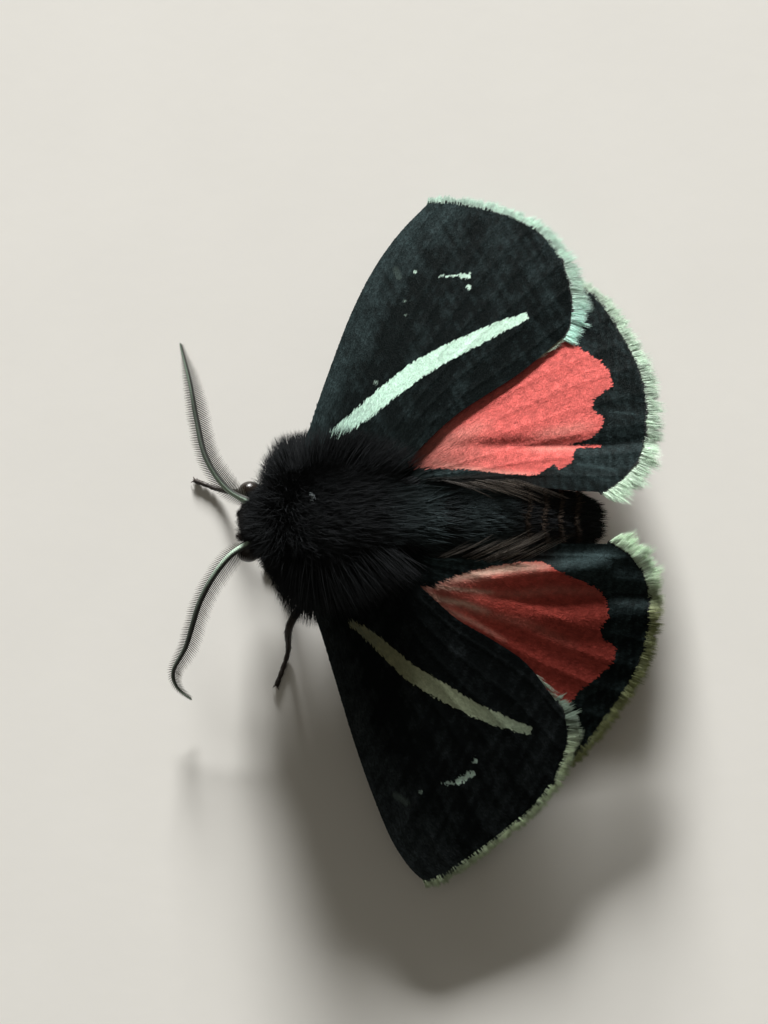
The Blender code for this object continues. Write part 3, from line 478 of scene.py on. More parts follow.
class Finish:
    """A material in the making, with its Principled shader."""

    def __init__(self, name, **constants):
        self.material = bpy.data.materials.new(name)
        self.material.use_nodes = True
        self.tree = self.material.node_tree
        self.shader = self.tree.nodes["Principled BSDF"]
        for socket, value in constants.items():
            self.feed(self.shader.inputs[socket.replace("_", " ").title().replace("Ior", "IOR")], value)

    def feed(self, socket, value):
        """Link a value to a socket, or set the socket to it."""
        if isinstance(value, Value):
            self.tree.links.new(value.socket, socket)
        else:
            socket.default_value = value

    def node(self, kind, settings, sockets, output=0):
        """Add a node: its settings first, then its sockets in order or by name."""
        made = self.tree.nodes.new(kind)
        for name, value in settings.items():
            setattr(made, name, value)
        for key, value in sockets.items() if isinstance(sockets, dict) else enumerate(sockets):
            self.feed(made.inputs[key], value)
        return Value(self, made.outputs[output])

    def place(self, stretch=(1, 1, 1)):
        """Object coordinates in millimetres, stretched along the axes."""
        spot = self.node("ShaderNodeTexCoord", {}, [], output="Object")
        return self.node("ShaderNodeVectorMath", {"operation": "MULTIPLY"}, [spot, [k / MM for k in stretch]])

    def noise(self, where, size):
        """Smooth noise from 0 to 1 with features of a size in millimetres."""
        return self.node("ShaderNodeTexNoise", {}, {"Vector": where, "Scale": 1 / size, "Detail": 2.0})

    def cells(self, where, size):
        """Cells of a size in millimetres: the distance from each one's middle."""
        return self.node("ShaderNodeTexVoronoi", {}, {"Vector": where, "Scale": 1 / size}, "Distance")

    def tint(self):
        """The colour that the mesh carries at each point."""
        return self.node("ShaderNodeAttribute", {"attribute_name": TINT}, [], output="Color")

    def mix(self, share, first, second, blend="MIX"):
        """Mix two colours by a share."""
        return self.node("ShaderNodeMix", {"data_type": "RGBA", "blend_type": blend},
                         {0: share, 6: first, 7: second}, output=2)

    def shade(self, colour, share):
        """A colour darkened or lightened by a factor that varies."""
        grey = self.node("ShaderNodeCombineColor", {}, [share, share, share])
        return self.mix(1.0, colour, grey, "MULTIPLY")

    def bump(self, height, depth, strength):
        """Bend the shader's normal by a height from 0 to 1 that is a depth in millimetres high."""
        bent = self.node("ShaderNodeBump", {}, {"Height": height, "Strength": strength, "Distance": depth * MM})
        self.feed(self.shader.inputs["Normal"], bent)

    def wear(self, colour, roughness):
        """Feed what varies to the shader, and give the material."""
        self.feed(self.shader.inputs["Base Color"], colour)
        self.feed(self.shader.inputs["Roughness"], roughness)
        return self.material


def fur_finish():
    """Dull black hair: the strand's own tint, broken up along its length."""
    finish = Finish("black fur", specular_ior_level=0.03)
    grain = finish.noise(finish.place(), 0.12)
    finish.bump(finish.noise(finish.place(), 0.03), 0.01, 0.5)
    return finish.wear(finish.shade(finish.tint(), grain * 0.6 + 0.7), grain * 0.25 + 0.65)


def pale_hair_finish():
    """Fine hair with a soft gloss, for the fringes and the hindwings' long hairs."""
    finish = Finish("pale hair", specular_ior_level=0.3)
    grain = finish.noise(finish.place(), 0.09)
    finish.bump(finish.noise(finish.place(), 0.025), 0.008, 0.4)
    return finish.wear(finish.shade(finish.tint(), grain * 0.5 + 0.75), grain * 0.2 + 0.5)


def scale_finish(name, gloss):
    """Wing scales: each scale's own tint, fine ribs along it and a gloss that varies from scale to scale."""
    finish = Finish(name, specular_ior_level=gloss)
    grain = finish.noise(finish.place(), 0.2)
    ribs = finish.noise(finish.place((1.0, 0.3, 1.0)), 0.02)
    finish.bump(ribs, 0.006, 0.6)
    return finish.wear(finish.shade(finish.tint(), grain * 0.5 + 0.75), grain * 0.3 + 0.5)


def membrane_finish():
    """The wing's own sheet under its scales: the same tint, pitted by the rows of scale sockets."""
    finish = Finish("wing membrane", specular_ior_level=0.04)
    pits = finish.cells(finish.place(), 0.11)
    grain = finish.noise(finish.place(), 0.25)
    finish.bump(pits, 0.03, 0.7)
    return finish.wear(finish.shade(finish.tint(), grain * 0.4 + pits * 0.5 + 0.45), grain * 0.25 + 0.5)


def skin_finish():
    """The black skin under the fur, with short flat scales."""
    finish = Finish("moth skin", specular_ior_level=0.06)
    flakes = finish.cells(finish.place((1.0, 0.45, 1.0)), 0.09)
    finish.bump(flakes, 0.04, 0.8)
    return finish.wear(finish.shade(finish.tint(), flakes * 0.8 + 0.5), flakes * 0.2 + 0.6)


def eye_finish():
    """A dark brown compound eye: a glossy surface of fine facets, mottled a little."""
    finish = Finish("compound eye", coat_weight=0.12, coat_roughness=0.08, specular_ior_level=0.25)
    facets = finish.cells(finish.place(), 0.035)
    mottle = finish.noise(finish.place(), 0.35)
    finish.bump(1 - facets, 0.008, 0.7)
    colour = finish.mix(mottle, (0.007, 0.005, 0.004, 1), (0.022, 0.015, 0.011, 1))
    return finish.wear(colour, mottle * 0.12 + 0.16)


def cuticle_finish():
    """Dark brown scaled cuticle of legs and palps, paler along its wear."""
    finish = Finish("leg cuticle", specular_ior_level=0.4)
    flakes = finish.cells(finish.place(), 0.06)
    patches = finish.noise(finish.place(), 0.5)
    finish.bump(flakes, 0.02, 0.8)
    colour = finish.mix(patches * 0.8, (0.012, 0.009, 0.008, 1), (0.05, 0.034, 0.024, 1))
    return finish.wear(finish.shade(colour, flakes * 0.7 + 0.6), patches * 0.3 + 0.35)


def claw_finish():
    """Polished red-brown claws and spurs, darker in streaks."""
    finish = Finish("claw horn", specular_ior_level=0.5)
    streaks = finish.noise(finish.place((1.0, 1.0, 0.4)), 0.08)
    finish.bump(streaks, 0.006, 0.4)
    return finish.wear(finish.mix(streaks, (0.010, 0.006, 0.005, 1), (0.06, 0.028, 0.016, 1)), streaks * 0.2 + 0.2)


def feeler_finish():
    """The feelers' shaft and rays: their own tint with a fine scaly grain."""
    finish = Finish("feeler", specular_ior_level=0.35)
    grain = finish.noise(finish.place(), 0.07)
    finish.bump(finish.cells(finish.place(), 0.05), 0.012, 0.7)
    return finish.wear(finish.shade(finish.tint(), grain * 0.7 + 0.65), grain * 0.3 + 0.4)


def floor_finish(colour):
    """A matt pale floor with the faintest grain."""
    finish = Finish("plain floor", specular_ior_level=0.1)
    grain = finish.noise(finish.place(), 6.0)
    finish.bump(finish.noise(finish.place(), 0.8), 0.01, 0.3)
    return finish.wear(finish.shade((*colour, 1), grain * 0.05 + 0.97), grain * 0.1 + 0.85)


def unit(vectors):
    """Vectors scaled to a length of one."""
    return vectors / np.maximum(np.linalg.norm(vectors, axis=-1, keepdims=True), 1e-9)


def ramp(values, low, high):
    """Rise smoothly from 0 at low to 1 at high: three squares less two cubes of the share between them."""
    share = np.clip((values - low) / (high - low), 0.0, 1.0)
    return share * share * (3 - 2 * share)


def blend(share, first, second):
    """Mix two arrays of vectors or colours by a share for each row."""
    return first + (np.asarray(second) - first) * np.asarray(share)[..., None]


def chance(*numbers):
    """A repeatable random number from 0 to 1 for each whole number or set of whole numbers."""
    mixed = sum(number * weight for number, weight in zip(numbers, (12.9898, 78.233, 37.719)))
    return np.sin(mixed) * 43758.5453 % 1.0


def ripple(points, size, seed, waves=9):
    """Smooth values round zero: the sum of sine waves of about one length, each in a random direction."""
    draw = np.random.default_rng(seed)
    ways = unit(draw.normal(size=(waves, points.shape[-1]))) * 2 * np.pi / size
    ways *= draw.uniform(0.6, 1.6, (waves, 1))
    return np.sin(points @ ways.T + draw.uniform(0, 2 * np.pi, waves)).sum(-1) / math.sqrt(waves)


def smooth_path(points, fractions):
    """Places at fractions of the length of a smooth curve through points: Hermite pieces, knots by root distance."""
    points = np.asarray(points, float)
    knots = np.concatenate([[0.0], np.cumsum(np.linalg.norm(np.diff(points, axis=0), axis=1) ** 0.5)])
    slopes = np.gradient(points, knots, axis=0)
    t = np.linspace(0.0, knots[-1], 30 * len(points))
    i = np.clip(np.searchsorted(knots, t, "right") - 1, 0, len(points) - 2)
    span = (knots[i + 1] - knots[i])[:, None]
    s = (t - knots[i])[:, None] / span
    curve = ((1 + 2 * s) * (1 - s) ** 2 * points[i] + s * (1 - s) ** 2 * span * slopes[i]
             + s ** 2 * (3 - 2 * s) * points[i + 1] + s ** 2 * (s - 1) * span * slopes[i + 1])
    length = np.concatenate([[0.0], np.cumsum(np.linalg.norm(np.diff(curve, axis=0), axis=1))])
    fractions = np.asarray(fractions, float)
    return np.stack([np.interp(fractions, length / length[-1], column) for column in curve.T], axis=-1)


def lookup(profile, fractions):
    """Values of a profile, given as pairs of fraction and value, at any fractions."""
    places, values = np.array(profile).T
    return np.interp(fractions, places, values)


def frames(path):
    """At each point of a path: the way ahead, sideways to its right, and above."""
    ahead = unit(np.gradient(path, axis=0))
    sideways = unit(np.cross(ahead, (0.0, 0.0, 1.0)))
    return ahead, sideways, np.cross(sideways, ahead)


def to_path(points, path):
    """Each point's distance to a path of straight pieces, and the fraction of its pieces where it is nearest."""
    path = np.asarray(path, float)
    start, along = path[:-1], np.diff(path, axis=0)
    share = np.clip(((points[:, None] - start) * along).sum(-1) / (along ** 2).sum(-1), 0, 1)
    distance = np.linalg.norm(points[:, None] - start - share[..., None] * along, axis=-1)
    nearest = distance.argmin(1)
    rows = np.arange(len(points))
    return distance[rows, nearest], (nearest + share[rows, nearest]) / len(along)


def depth_in(points, outline):
    """How deep points lie inside a closed outline, less than zero outside: even crossings of a ray are outside."""
    outline = np.asarray(outline, float)
    after = np.roll(outline, -1, axis=0)
    x, y = points[:, :1], points[:, 1:]
    over = (outline[:, 1] > y) != (after[:, 1] > y)
    rise = np.where(after[:, 1] == outline[:, 1], 1e-9, after[:, 1] - outline[:, 1])
    crossing = outline[:, 0] + (y - outline[:, 1]) / rise * (after[:, 0] - outline[:, 0])
    inside = (over & (x < crossing)).sum(1) % 2 == 1
    distance, _ = to_path(points, np.vstack([outline, outline[:1]]))
    return np.where(inside, distance, -distance)


def reach_to(points, ways, outline):
    """How far points are from an open outline along their ways: the nearest crossing of its pieces, if any."""
    start, along = np.array(outline[:-1]), np.diff(np.array(outline), axis=0)
    ways = unit(ways)[:, None]
    gap = start - points[:, None]
    spread = ways[..., 0] * along[:, 1] - ways[..., 1] * along[:, 0] + 1e-9
    far = (gap[..., 0] * along[:, 1] - gap[..., 1] * along[:, 0]) / spread
    share = (gap[..., 0] * ways[..., 1] - gap[..., 1] * ways[..., 0]) / spread
    return np.where((far > 0) & (share >= 0) & (share <= 1), far, NO_EDGE).min(1)


def grid_faces(rows, columns, closed=False):
    """The four-cornered faces of a grid of points, closed round its columns if asked."""
    across = np.arange(columns if closed else columns - 1)
    down = np.arange(rows - 1)[:, None] * columns
    a, b = down + across, down + (across + 1) % columns
    return np.stack([a, b, b + columns, a + columns], axis=-1).reshape(-1, 4)


def closed_rings(points, way):
    """A grid of rings whose first and last ring are one point each, closed by a fan of triangles at either pole.

    Gives its points and its groups of faces, whose corners run the other way round where way is -1.
    """
    rows, columns = points.shape[:2]
    inner, poles = points[1:-1].reshape(-1, 3), points[[0, -1], 0]
    near = np.arange(columns)
    after = (near + 1) % columns
    last = (rows - 3) * columns
    front = np.column_stack([near, after, np.full(columns, len(inner))])
    rear = np.column_stack([last + after, last + near, np.full(columns, len(inner) + 1)])
    walls = grid_faces(rows - 2, columns, closed=True)
    return np.concatenate([inner, poles]), [walls[:, ::way], front[:, ::-way], rear[:, ::-way]]


def make(name, points, faces, finish, replaces=(), tint=None, tuft_uv=None):
    """A piece from points in millimetres and arrays of faces, riding on the still body."""
    mesh = bpy.data.meshes.new(name)
    mesh.vertices.add(len(points))
    mesh.vertices.foreach_set("co", ((points - CENTRE) * MM).astype(np.float32).ravel())
    sizes = np.concatenate([np.full(len(group), group.shape[1]) for group in faces])
    corners = np.concatenate([group.ravel() for group in faces])
    mesh.loops.add(len(corners))
    mesh.loops.foreach_set("vertex_index", corners.astype(np.int32))
    mesh.polygons.add(len(sizes))
    mesh.polygons.foreach_set("loop_start", (np.cumsum(sizes) - sizes).astype(np.int32))
    mesh.update(calc_edges=True)
    if tint is not None:
        colours = np.concatenate([tint, np.ones((len(tint), 1))], axis=1)
        mesh.color_attributes.new(TINT, "FLOAT_COLOR", "POINT").data.foreach_set("color", colours.ravel())
    if tuft_uv is None:
        mesh.shade_smooth()
    else:
        mesh.shade_flat()
        mesh.uv_layers.new(name=TUFT_MAP).data.foreach_set("uv", tuft_uv[corners].ravel())
    mesh.materials.append(finish)
    piece = bpy.data.objects.new(name, mesh)
    bpy.context.scene.collection.objects.link(piece)
    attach(piece, "root")
    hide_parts(*replaces)


def tube(path, radii, sides):
    """A closed tube: a circle of the given radius carried along the path, with its two ends closed."""
    _, sideways, above = frames(path)
    turn = np.arange(sides) * 2 * np.pi / sides
    ring = np.cos(turn)[:, None] * sideways[:, None] + np.sin(turn)[:, None] * above[:, None]
    points = (path[:, None] + np.asarray(radii)[:, None, None] * ring).reshape(-1, 3)
    last = (len(path) - 1) * sides
    ends = np.stack([np.arange(sides), np.arange(last, last + sides)[::-1]])
    return points, [grid_faces(len(path), sides, closed=True)[:, ::-1], ends]


def joined(shapes):
    """Several shapes of points and face groups as one."""
    points, faces, start = [], [], 0
    for shape_points, groups in shapes:
        points.append(shape_points)
        faces += [group + start for group in groups]
        start += len(shape_points)
    return np.concatenate(points), faces


class Strands:
    """Many tapering closed strands as one mesh, each with three sides, a tip and its own patch of the tuft map.

    A strand starts a little under its root, climbs along the normal by the sine
    of its fraction, and runs ahead along its lie, slowly at first.
    """

    def __init__(self, root, normal, lie, length, rise, width, tints, spot, sections=3, thin=0.7,
                 pull=0.0, droop=0.0, clear=None):
        count = len(root)
        f = np.linspace(0, 1, sections + 1)
        ahead = (np.broadcast_to(length, count)[:, None] * f * (0.45 + 0.55 * f))[..., None]
        height = np.broadcast_to(rise, count)[:, None] + ROOT_SINK
        climb = (height * np.sin(f * np.pi / 2) - ROOT_SINK)[..., None]
        path = root[:, None] + lie[:, None] * ahead + normal[:, None] * climb
        path += np.broadcast_to(pull, (count, 3))[:, None] * (f ** 2)[:, None]
        path[..., 2] -= np.broadcast_to(droop, count)[:, None] * f ** 2
        if clear is not None:
            path = clear(path)
        tangent = unit(np.gradient(path, axis=1))[:, :-1]
        across = unit(np.cross(normal[:, None], tangent))
        above = np.cross(tangent, across)
        girth = np.broadcast_to(width, count)[:, None] * (1 - 0.55 * f[:-1] ** 1.5)
        turn = np.radians([90, 210, 330])
        rings = (path[:, :-1, None] + girth[..., None, None] * (np.cos(turn)[:, None] * across[:, :, None]
                                                               + thin * np.sin(turn)[:, None] * above[:, :, None]))
        self.points = np.concatenate([rings.reshape(count, -1, 3), path[:, -1:]], axis=1)
        along = np.append(np.repeat(f[:-1], 3), 1.0)
        self.tint = blend(np.broadcast_to(along, (count, len(along))), tints[0][:, None], tints[1][:, None])
        sideways = np.append(np.tile([0.0, -0.5, 0.5], sections), 0.0)
        patch = np.stack([sideways, along - 0.5], axis=-1) * TUFT_PATCH
        self.spot = np.clip(spot, TUFT_PATCH, 1 - TUFT_PATCH)[:, None] + patch
        # Two triangles for each side of a section, one for each side of the tip, and one that closes the root
        side = np.array([(k, (k + 1) % 3) for k in range(3)])
        walls = np.concatenate([np.concatenate([np.column_stack([side, side[:, 1:] + 3]) + 3 * r,
                                                np.column_stack([side[:, :1], side + 3])[:, [0, 2, 1]] + 3 * r])
                                for r in range(sections - 1)])
        tip = np.column_stack([side + 3 * (sections - 1), np.full(3, 3 * sections)])
        self.pattern = np.concatenate([walls, tip, [(2, 1, 0)]])

    def flat(self, keep=slice(None)):
        """Points, faces, tints and tuft map of all strands, or of those to keep, in flat arrays."""
        count, corners = self.points[keep].shape[:2]
        faces = (self.pattern + np.arange(count)[:, None, None] * corners).reshape(-1, 3)
        return (self.points[keep].reshape(-1, 3), [faces], self.tint[keep].reshape(-1, 3),
                self.spot[keep].reshape(-1, 2))


def make_coat(name, shapes, finish, replaces=()):
    """One piece of several sets of points, faces, tints and tuft map."""
    points, faces = joined([(shape[0], shape[1]) for shape in shapes])
    make(name, points, faces, finish, replaces=replaces, tint=np.concatenate([shape[2] for shape in shapes]),
         tuft_uv=np.concatenate([shape[3] for shape in shapes]))


def segment_share(y):
    """The share of its own segment of the abdomen at which a place along it lies."""
    return np.interp(y, SEGMENT_EDGES, range(len(SEGMENT_EDGES)), left=0) % 1.0


def body_point(s, a):
    """A point of the skin: an oval ring a share s along the body, at the angle a from the left side upward."""
    y, z, wide, high = np.moveaxis(smooth_path(BODY, s), -1, 0)
    step = SEGMENT_STEP * segment_share(y)
    return np.stack([(wide + step) * np.cos(a), y, z + (high + step) * np.sin(a)], axis=-1)


def body_frame(s, a, step=2e-3):
    """Where the skin is and its outward normal, from short steps along its two parameters."""
    along = body_point(np.minimum(s + step, 1), a) - body_point(np.maximum(s - step, 0), a)
    around = body_point(s, a + step) - body_point(s, a - step)
    return body_point(s, a), unit(np.cross(along, around))


def body_roots(count, low, high, draw):
    """Roots spread evenly over the skin between two places along it: every square millimetre gets as many."""
    rows, columns = 160, 72
    s = low + (high - low) * (np.arange(rows) + 0.5) / rows
    a = 2 * np.pi * (np.arange(columns) + 0.5) / columns
    s, a = (grid.ravel() for grid in np.meshgrid(s, a, indexing="ij"))
    step = 1e-3
    along = body_point(s + step, a) - body_point(s - step, a)
    around = body_point(s, a + step) - body_point(s, a - step)
    total = np.cumsum(np.linalg.norm(np.cross(along, around), axis=1))
    pick = np.searchsorted(total, (np.arange(count) + draw.random(count)) / count * total[-1])
    pick = np.minimum(pick, len(s) - 1)
    return (s[pick] + (high - low) / rows * (draw.random(count) - 0.5),
            a[pick] + 2 * np.pi / columns * (draw.random(count) - 0.5))


def share_at(y):
    """The share along the body at which the skin reaches a place along the Y axis, or several places."""
    shares = np.linspace(0, 1, 400)
    return np.interp(y, smooth_path(BODY, shares)[:, 0], shares)


def clump_pull(s, a, size, strength):
    """How far strands lean to their clump's middle: clumps are cells of the skin with jittered middles."""
    here = body_point(s, a)
    rows = np.floor(np.linalg.norm(np.diff(np.array(BODY)[:, :2], axis=0), axis=1).sum() / size)
    row = np.floor(s * rows)
    ring = smooth_path(BODY, (row + 0.5) / rows)
    columns = np.maximum(np.floor(2 * np.pi * (ring[..., 2] + ring[..., 3]) / 2 / size), 4)
    turn = a / (2 * np.pi) * columns + 0.5 * (row % 2)
    column = np.floor(turn)
    middle_s = (row + 0.25 + 0.5 * chance(row, column)) / rows
    middle_a = (column + 0.25 + 0.5 * chance(column, row) - 0.5 * (row % 2)) / columns * 2 * np.pi
    return (body_point(np.clip(middle_s, 0, 1), middle_a) - here) * strength, chance(row, column, row + column)


def clear_of_wings(path):
    """Raise or lower strands off the wings' bases, to the side where each one's root is."""
    x, y, z = np.moveaxis(path, -1, 0)
    middle = wing_height(x, y, 0.0)
    upper = (z[:, 0] > middle[:, 0])[:, None]
    for drop, out, front, rear in WING_BASES:
        near = (np.abs(x) > out) & (y > front) & (y < rear)
        z = np.where(near & upper, np.maximum(z, middle - drop + WING_ROOM), z)
        z = np.where(near & ~upper, np.minimum(z, middle - drop - WING_ROOM), z)
    return np.stack([x, y, np.maximum(z, FLOOR_ROOM)], axis=-1)


def body_lie(point, normal):
    """Which way the coat lies: forward on the head, outward round the collar, and rearward from there."""
    outward = normal * [1.0, 0.0, 1.0]
    y = point[:, 1:2]
    collar = ramp(y, -6.0, -4.6)
    rearward = outward * [0.45, 0, 0.3] + [0.0, 1.0, 0.0]
    lie = outward * [1.0, 0, 0.5] + [0.0, -0.35, 0.0]
    lie = lie + (rearward - lie) * collar
    forward = ramp(y, NECK - 0.1, NECK + 0.2)
    lie = (outward * 0.5 + [0.0, -1.0, 0.15]) * (1 - forward) + lie * forward
    return unit(lie - normal * (lie * normal).sum(-1, keepdims=True))


def tones(count, root, tip, draw, spread):
    """Root and tip colours for strands, each strand a little lighter or darker."""
    vary = draw.uniform(1 - spread, 1 + spread, (count, 1))
    return [np.broadcast_to(colour, (count, 3)) * vary for colour in (root, tip)]


def wing_plan(shape, u, v):
    """A wing's plan: u runs from front edge to rear edge and v from root to outer edge.

    The straight mix of the two edges is bowed, in proportion to v, by how far
    the outer edge lies off the straight line between its ends.
    """
    costa, inner = smooth_path(shape["costa"], v), smooth_path(shape["inner"], v)
    edge = smooth_path(shape["outer"], u)
    u, v = np.asarray(u)[..., None], np.asarray(v)[..., None]
    return (1 - u) * costa + u * inner + v * (edge - (1 - u) * edge_end(shape, 0) - u * edge_end(shape, -1))


def edge_end(shape, end):
    """An end of a wing's outer edge."""
    return np.array(shape["outer"][end])


def wing_height(x, y, drop):
    """A wing's middle surface: its height over a place in plan, alike on both sides."""
    out = np.abs(x) - HINGE[0]
    return (HINGE[2] - math.tan(SLOPE) * out - DROOP * (np.maximum(out, 0.0) / WING_REACH) ** 2
            - math.tan(FALL) * (y - HINGE[1]) - drop)


def wing_relief(shape, u, v, plan):
    """Height of veins, pleats, bends and folds: a bell curve over each, and a hollow between two veins."""
    width = 3.5 + 5.5 * v
    relief = np.zeros(np.shape(u))
    crests = [base + (tip - base) * v for base, tip, _ in shape["veins"]]
    for crest, (_, _, start) in zip(crests, shape["veins"]):
        off = (u - crest) * width / VEIN["half_width"]
        relief = relief + VEIN["height"] * np.exp(-off ** 2) * ramp(v, start - 0.05, start + 0.03)
    for first, second in zip(crests[:-1], crests[1:]):
        share = np.clip((u - first) / (second - first), 0, 1)
        relief = relief - shape["pleat"] * v * np.sin(np.pi * share) ** 2
    for place, half_width, height in shape["bends"]:
        relief = relief + height * v * np.exp(-((u - place) * shape["breadth"] / half_width) ** 2)
    for line, half_width, height in shape["folds"]:
        distance, _ = to_path(plan.reshape(-1, 2), line)
        relief = relief + height * ramp(v, 0.1, 0.5) * np.exp(-(distance.reshape(np.shape(u)) / half_width) ** 2)
    return relief


def wing_point(shape, side, u, v):
    """A point of the wing's middle surface."""
    plan = wing_plan(shape, u, v)
    y = plan[..., 1]
    x = side * plan[..., 0] - shape["skew"] * (y - SKEW_PIVOT)
    return np.stack([x, y, wing_height(x, y, shape["drop"]) + wing_relief(shape, u, v, plan)], axis=-1)


def wing_way(shape, side, u, v, step_u, step_v):
    """The way over the wing from a step before a place to a step after it, both kept on the wing."""
    return (wing_point(shape, side, np.minimum(u + step_u, 1), np.minimum(v + step_v, 1))
            - wing_point(shape, side, np.maximum(u - step_u, 0), np.maximum(v - step_v, 0)))


def wing_frame(shape, side, u, v, step=1e-3):
    """A point of the wing, its upward normal and the way outward along it."""
    outward = wing_way(shape, side, u, v, 0, step)
    across = wing_way(shape, side, u, v, step, 0)
    return wing_point(shape, side, u, v), unit(np.cross(outward, across)) * side, unit(outward)


def dark_tint(grey, seed, black, sheen, share=1.0):
    """Black scales among blue-grey ones: a mix by how grey the place is, a little more or less for each scale."""
    return blend(np.clip(np.clip(grey, 0.02, 1) * (0.5 + chance(seed)) * share, 0, 1.2), black, sheen)


def forewing_tint(settings, name, plan, u, v, rough, seed):
    """Black with blue-grey scales toward the front edge and tip, a pale streak and a few pale marks."""
    black, sheen, mint = (np.array(colour) for colour in (settings.black, settings.sheen, settings.mint))
    # Blue-grey lies along the front edge and toward the tip, thins out behind the edge, and varies in patches
    grey = 0.04 + 0.62 * np.exp(-(u / 0.15) ** 2) + 0.22 * ramp(v, 0.6, 1.0) * (1 - 0.6 * ramp(u, 0.5, 0.8))
    grey -= 0.1 * np.exp(-((u - 0.26) / 0.07) ** 2)
    grey += 0.15 * ripple(plan, 1.6, 5) + 0.13 * ripple(plan, 0.5, 6) + 0.07 * ripple(plan, 0.22, 4)
    # On the left forewing the warmer tone and the lesser blue-grey are painted shade
    tint = dark_tint(grey, seed, black, sheen, FOREWING_SHADE_SHEEN[name]) * FOREWING_SHADE_TONE[name]
    distance, along = to_path(plan, STREAK[name])
    # The streak has a rough edge, and its inner end is darkened on random scales: partly dark scales, partly painted
    # shade toward the body
    half = np.interp(along, np.linspace(0, 1, len(STREAK_HALF_WIDTHS[name])), STREAK_HALF_WIDTHS[name])
    streak = distance < half + rough * 0.035
    dark_scales_and_shade = 0.55 * (1 - ramp(along, 0.02, 0.3)) * chance(seed, 7.0)
    tone = mint * (0.88 + 0.2 * chance(seed, 3.0))[:, None]
    # Painted shade along the streak, most on the left wing
    shaded_streak = tone * lookup(STREAK_PAINTED_SHADE[name], along)[:, None] * blend(along, *np.array(STREAK_SHADE_TONE[name]))
    tint = np.where(streak[:, None], blend(dark_scales_and_shade, shaded_streak, sheen * 3), tint)
    # Strong marks have a rough edge, and weak ones fade out
    for start, end, radius, strength in MARKS[name]:
        distance, _ = to_path(plan, [start, end])
        sharp, soft = distance < radius + rough * 0.04, 1 - ramp(distance, radius * 0.5, radius * 1.6)
        share = sharp if strength > 0.5 else soft
        tint = blend(share * strength, tint, tone)
    return tint


def hindwing_tint(settings, name, plan, u, v, rough, seed):
    """Red with paler rays from the root, some of them painted highlights, painted shade along the fold, and a
    scalloped black border.
    """
    black, sheen, red, salmon = (np.array(colour) for colour in
                                 (settings.black, settings.sheen, settings.red, settings.salmon))
    # The border's blue-grey varies in patches and is strongest beside the rear edge, where it is painted sheen on the
    # strip that faces the light; the field's red varies in patches too
    grey = 0.14 + 0.14 * ripple(plan, 1.2, 8) + 0.45 * np.exp(-((u - 0.8) / 0.11) ** 2) + 0.17 * ripple(plan, 0.35, 7)
    border = dark_tint(grey, seed, black, sheen)
    # On the left the red is darkened outward and browned as painted shade
    field = red * (1.0 + 0.1 * ripple(plan, 0.9, 9) + 0.08 * ripple(plan, 0.3, 10)
                   + 0.2 * (chance(seed, 2.0) - 0.5))[:, None] * lookup(PAINTED_SHADE_OF_RED[name], v)[:, None] * SHADED_TONE_OF_RED[name]
    for line, half, strength in RED_RAYS_AND_HIGHLIGHTS[name]:
        distance, along = to_path(plan, line)
        share = np.exp(-(distance / half) ** 2) * np.sin(np.pi * (0.12 + 0.8 * along))
        share = share * (0.75 + 0.25 * chance(seed, 4.0))
        # On the left the rays are paler still, as painted highlights
        field = blend(strength * share, field, salmon * RAY_HIGHLIGHT_TONE[name])
    # Toward the root the field is paler and then shaded, and along the fold it is dark with painted shade in the
    # crease
    field = blend(0.5 * (1 - ramp(v, 0.12, 0.5)), field, salmon * 0.85)
    field = field * (1 - 0.45 * (1 - ramp(v, 0.12, 0.4)))[:, None]
    distance, _ = to_path(plan, FOLD_SHADE_LINE[name])
    dark = np.exp(-(distance / 0.05) ** 2)
    field = blend(0.75 * dark, field, red * 0.3)
    border = blend(0.7 * dark, border, black * 0.5)
    # Blue-grey marks, the left's broad one painted sheen
    for start, end, radius, strength in BORDER_SHEEN_AND_MARKS[name]:
        distance, _ = to_path(plan, [start, end])
        border = blend(strength * np.exp(-(distance / radius) ** 2) * (0.5 + chance(seed, 6.0)), border, sheen * 1.8)
    border = blend(0.85 * ramp(u, 0.8, 0.88) * (1 - ramp(v, 0.55, 0.8)), border, np.array([0.007, 0.0058, 0.005]))
    depth = depth_in(plan, RED_FIELD[name]) + rough * (0.055 - 0.03 * ramp(u, 0.7, 0.85))
    tint = np.where((depth > 0)[:, None], field, border)
    return blend(1 - ramp(v + 0.03 * rough, 0.06, 0.17), tint, black)


TINTERS = {"forewing": forewing_tint, "hindwing": hindwing_tint}


class MOTH_OT_skin(bpy.types.Operator):
    """Build the skin of head, thorax and abdomen as one surface"""
    bl_idname = "moth.skin"
    bl_label = "Skin"

    def execute(self, context):
        coat = context.scene.moth_coat
        rows, columns = 260, 72
        s, a = np.meshgrid(np.linspace(0, 1, rows), np.arange(columns) * 2 * np.pi / columns, indexing="ij")
        points, faces = closed_rings(body_point(s, a), -1)
        tint = np.array(coat.black) * (1 + 0.3 * ripple(points, 0.8, 3))[:, None]
        make("moth_skin", points, faces, skin_finish(), replaces=("head", "thorax", "abdomen"),
             tint=np.maximum(tint, 0))
        return {"FINISHED"}


def fur_spot(s, a):
    """A root's place on the tuft map: the share round the body and the share along it."""
    return np.column_stack([a / (2 * np.pi) % 1.0, s])


def coat_roots(coat, part, front, rear):
    """What a part's coat starts with: its sizes, its random numbers, and its roots between two places on the skin."""
    size, draw = FUR[part], np.random.default_rng(SEEDS[part])
    s, a = body_roots(round(size["count"] * coat.density), share_at(front), share_at(rear), draw)
    return size, draw, s, a, *body_frame(s, a)


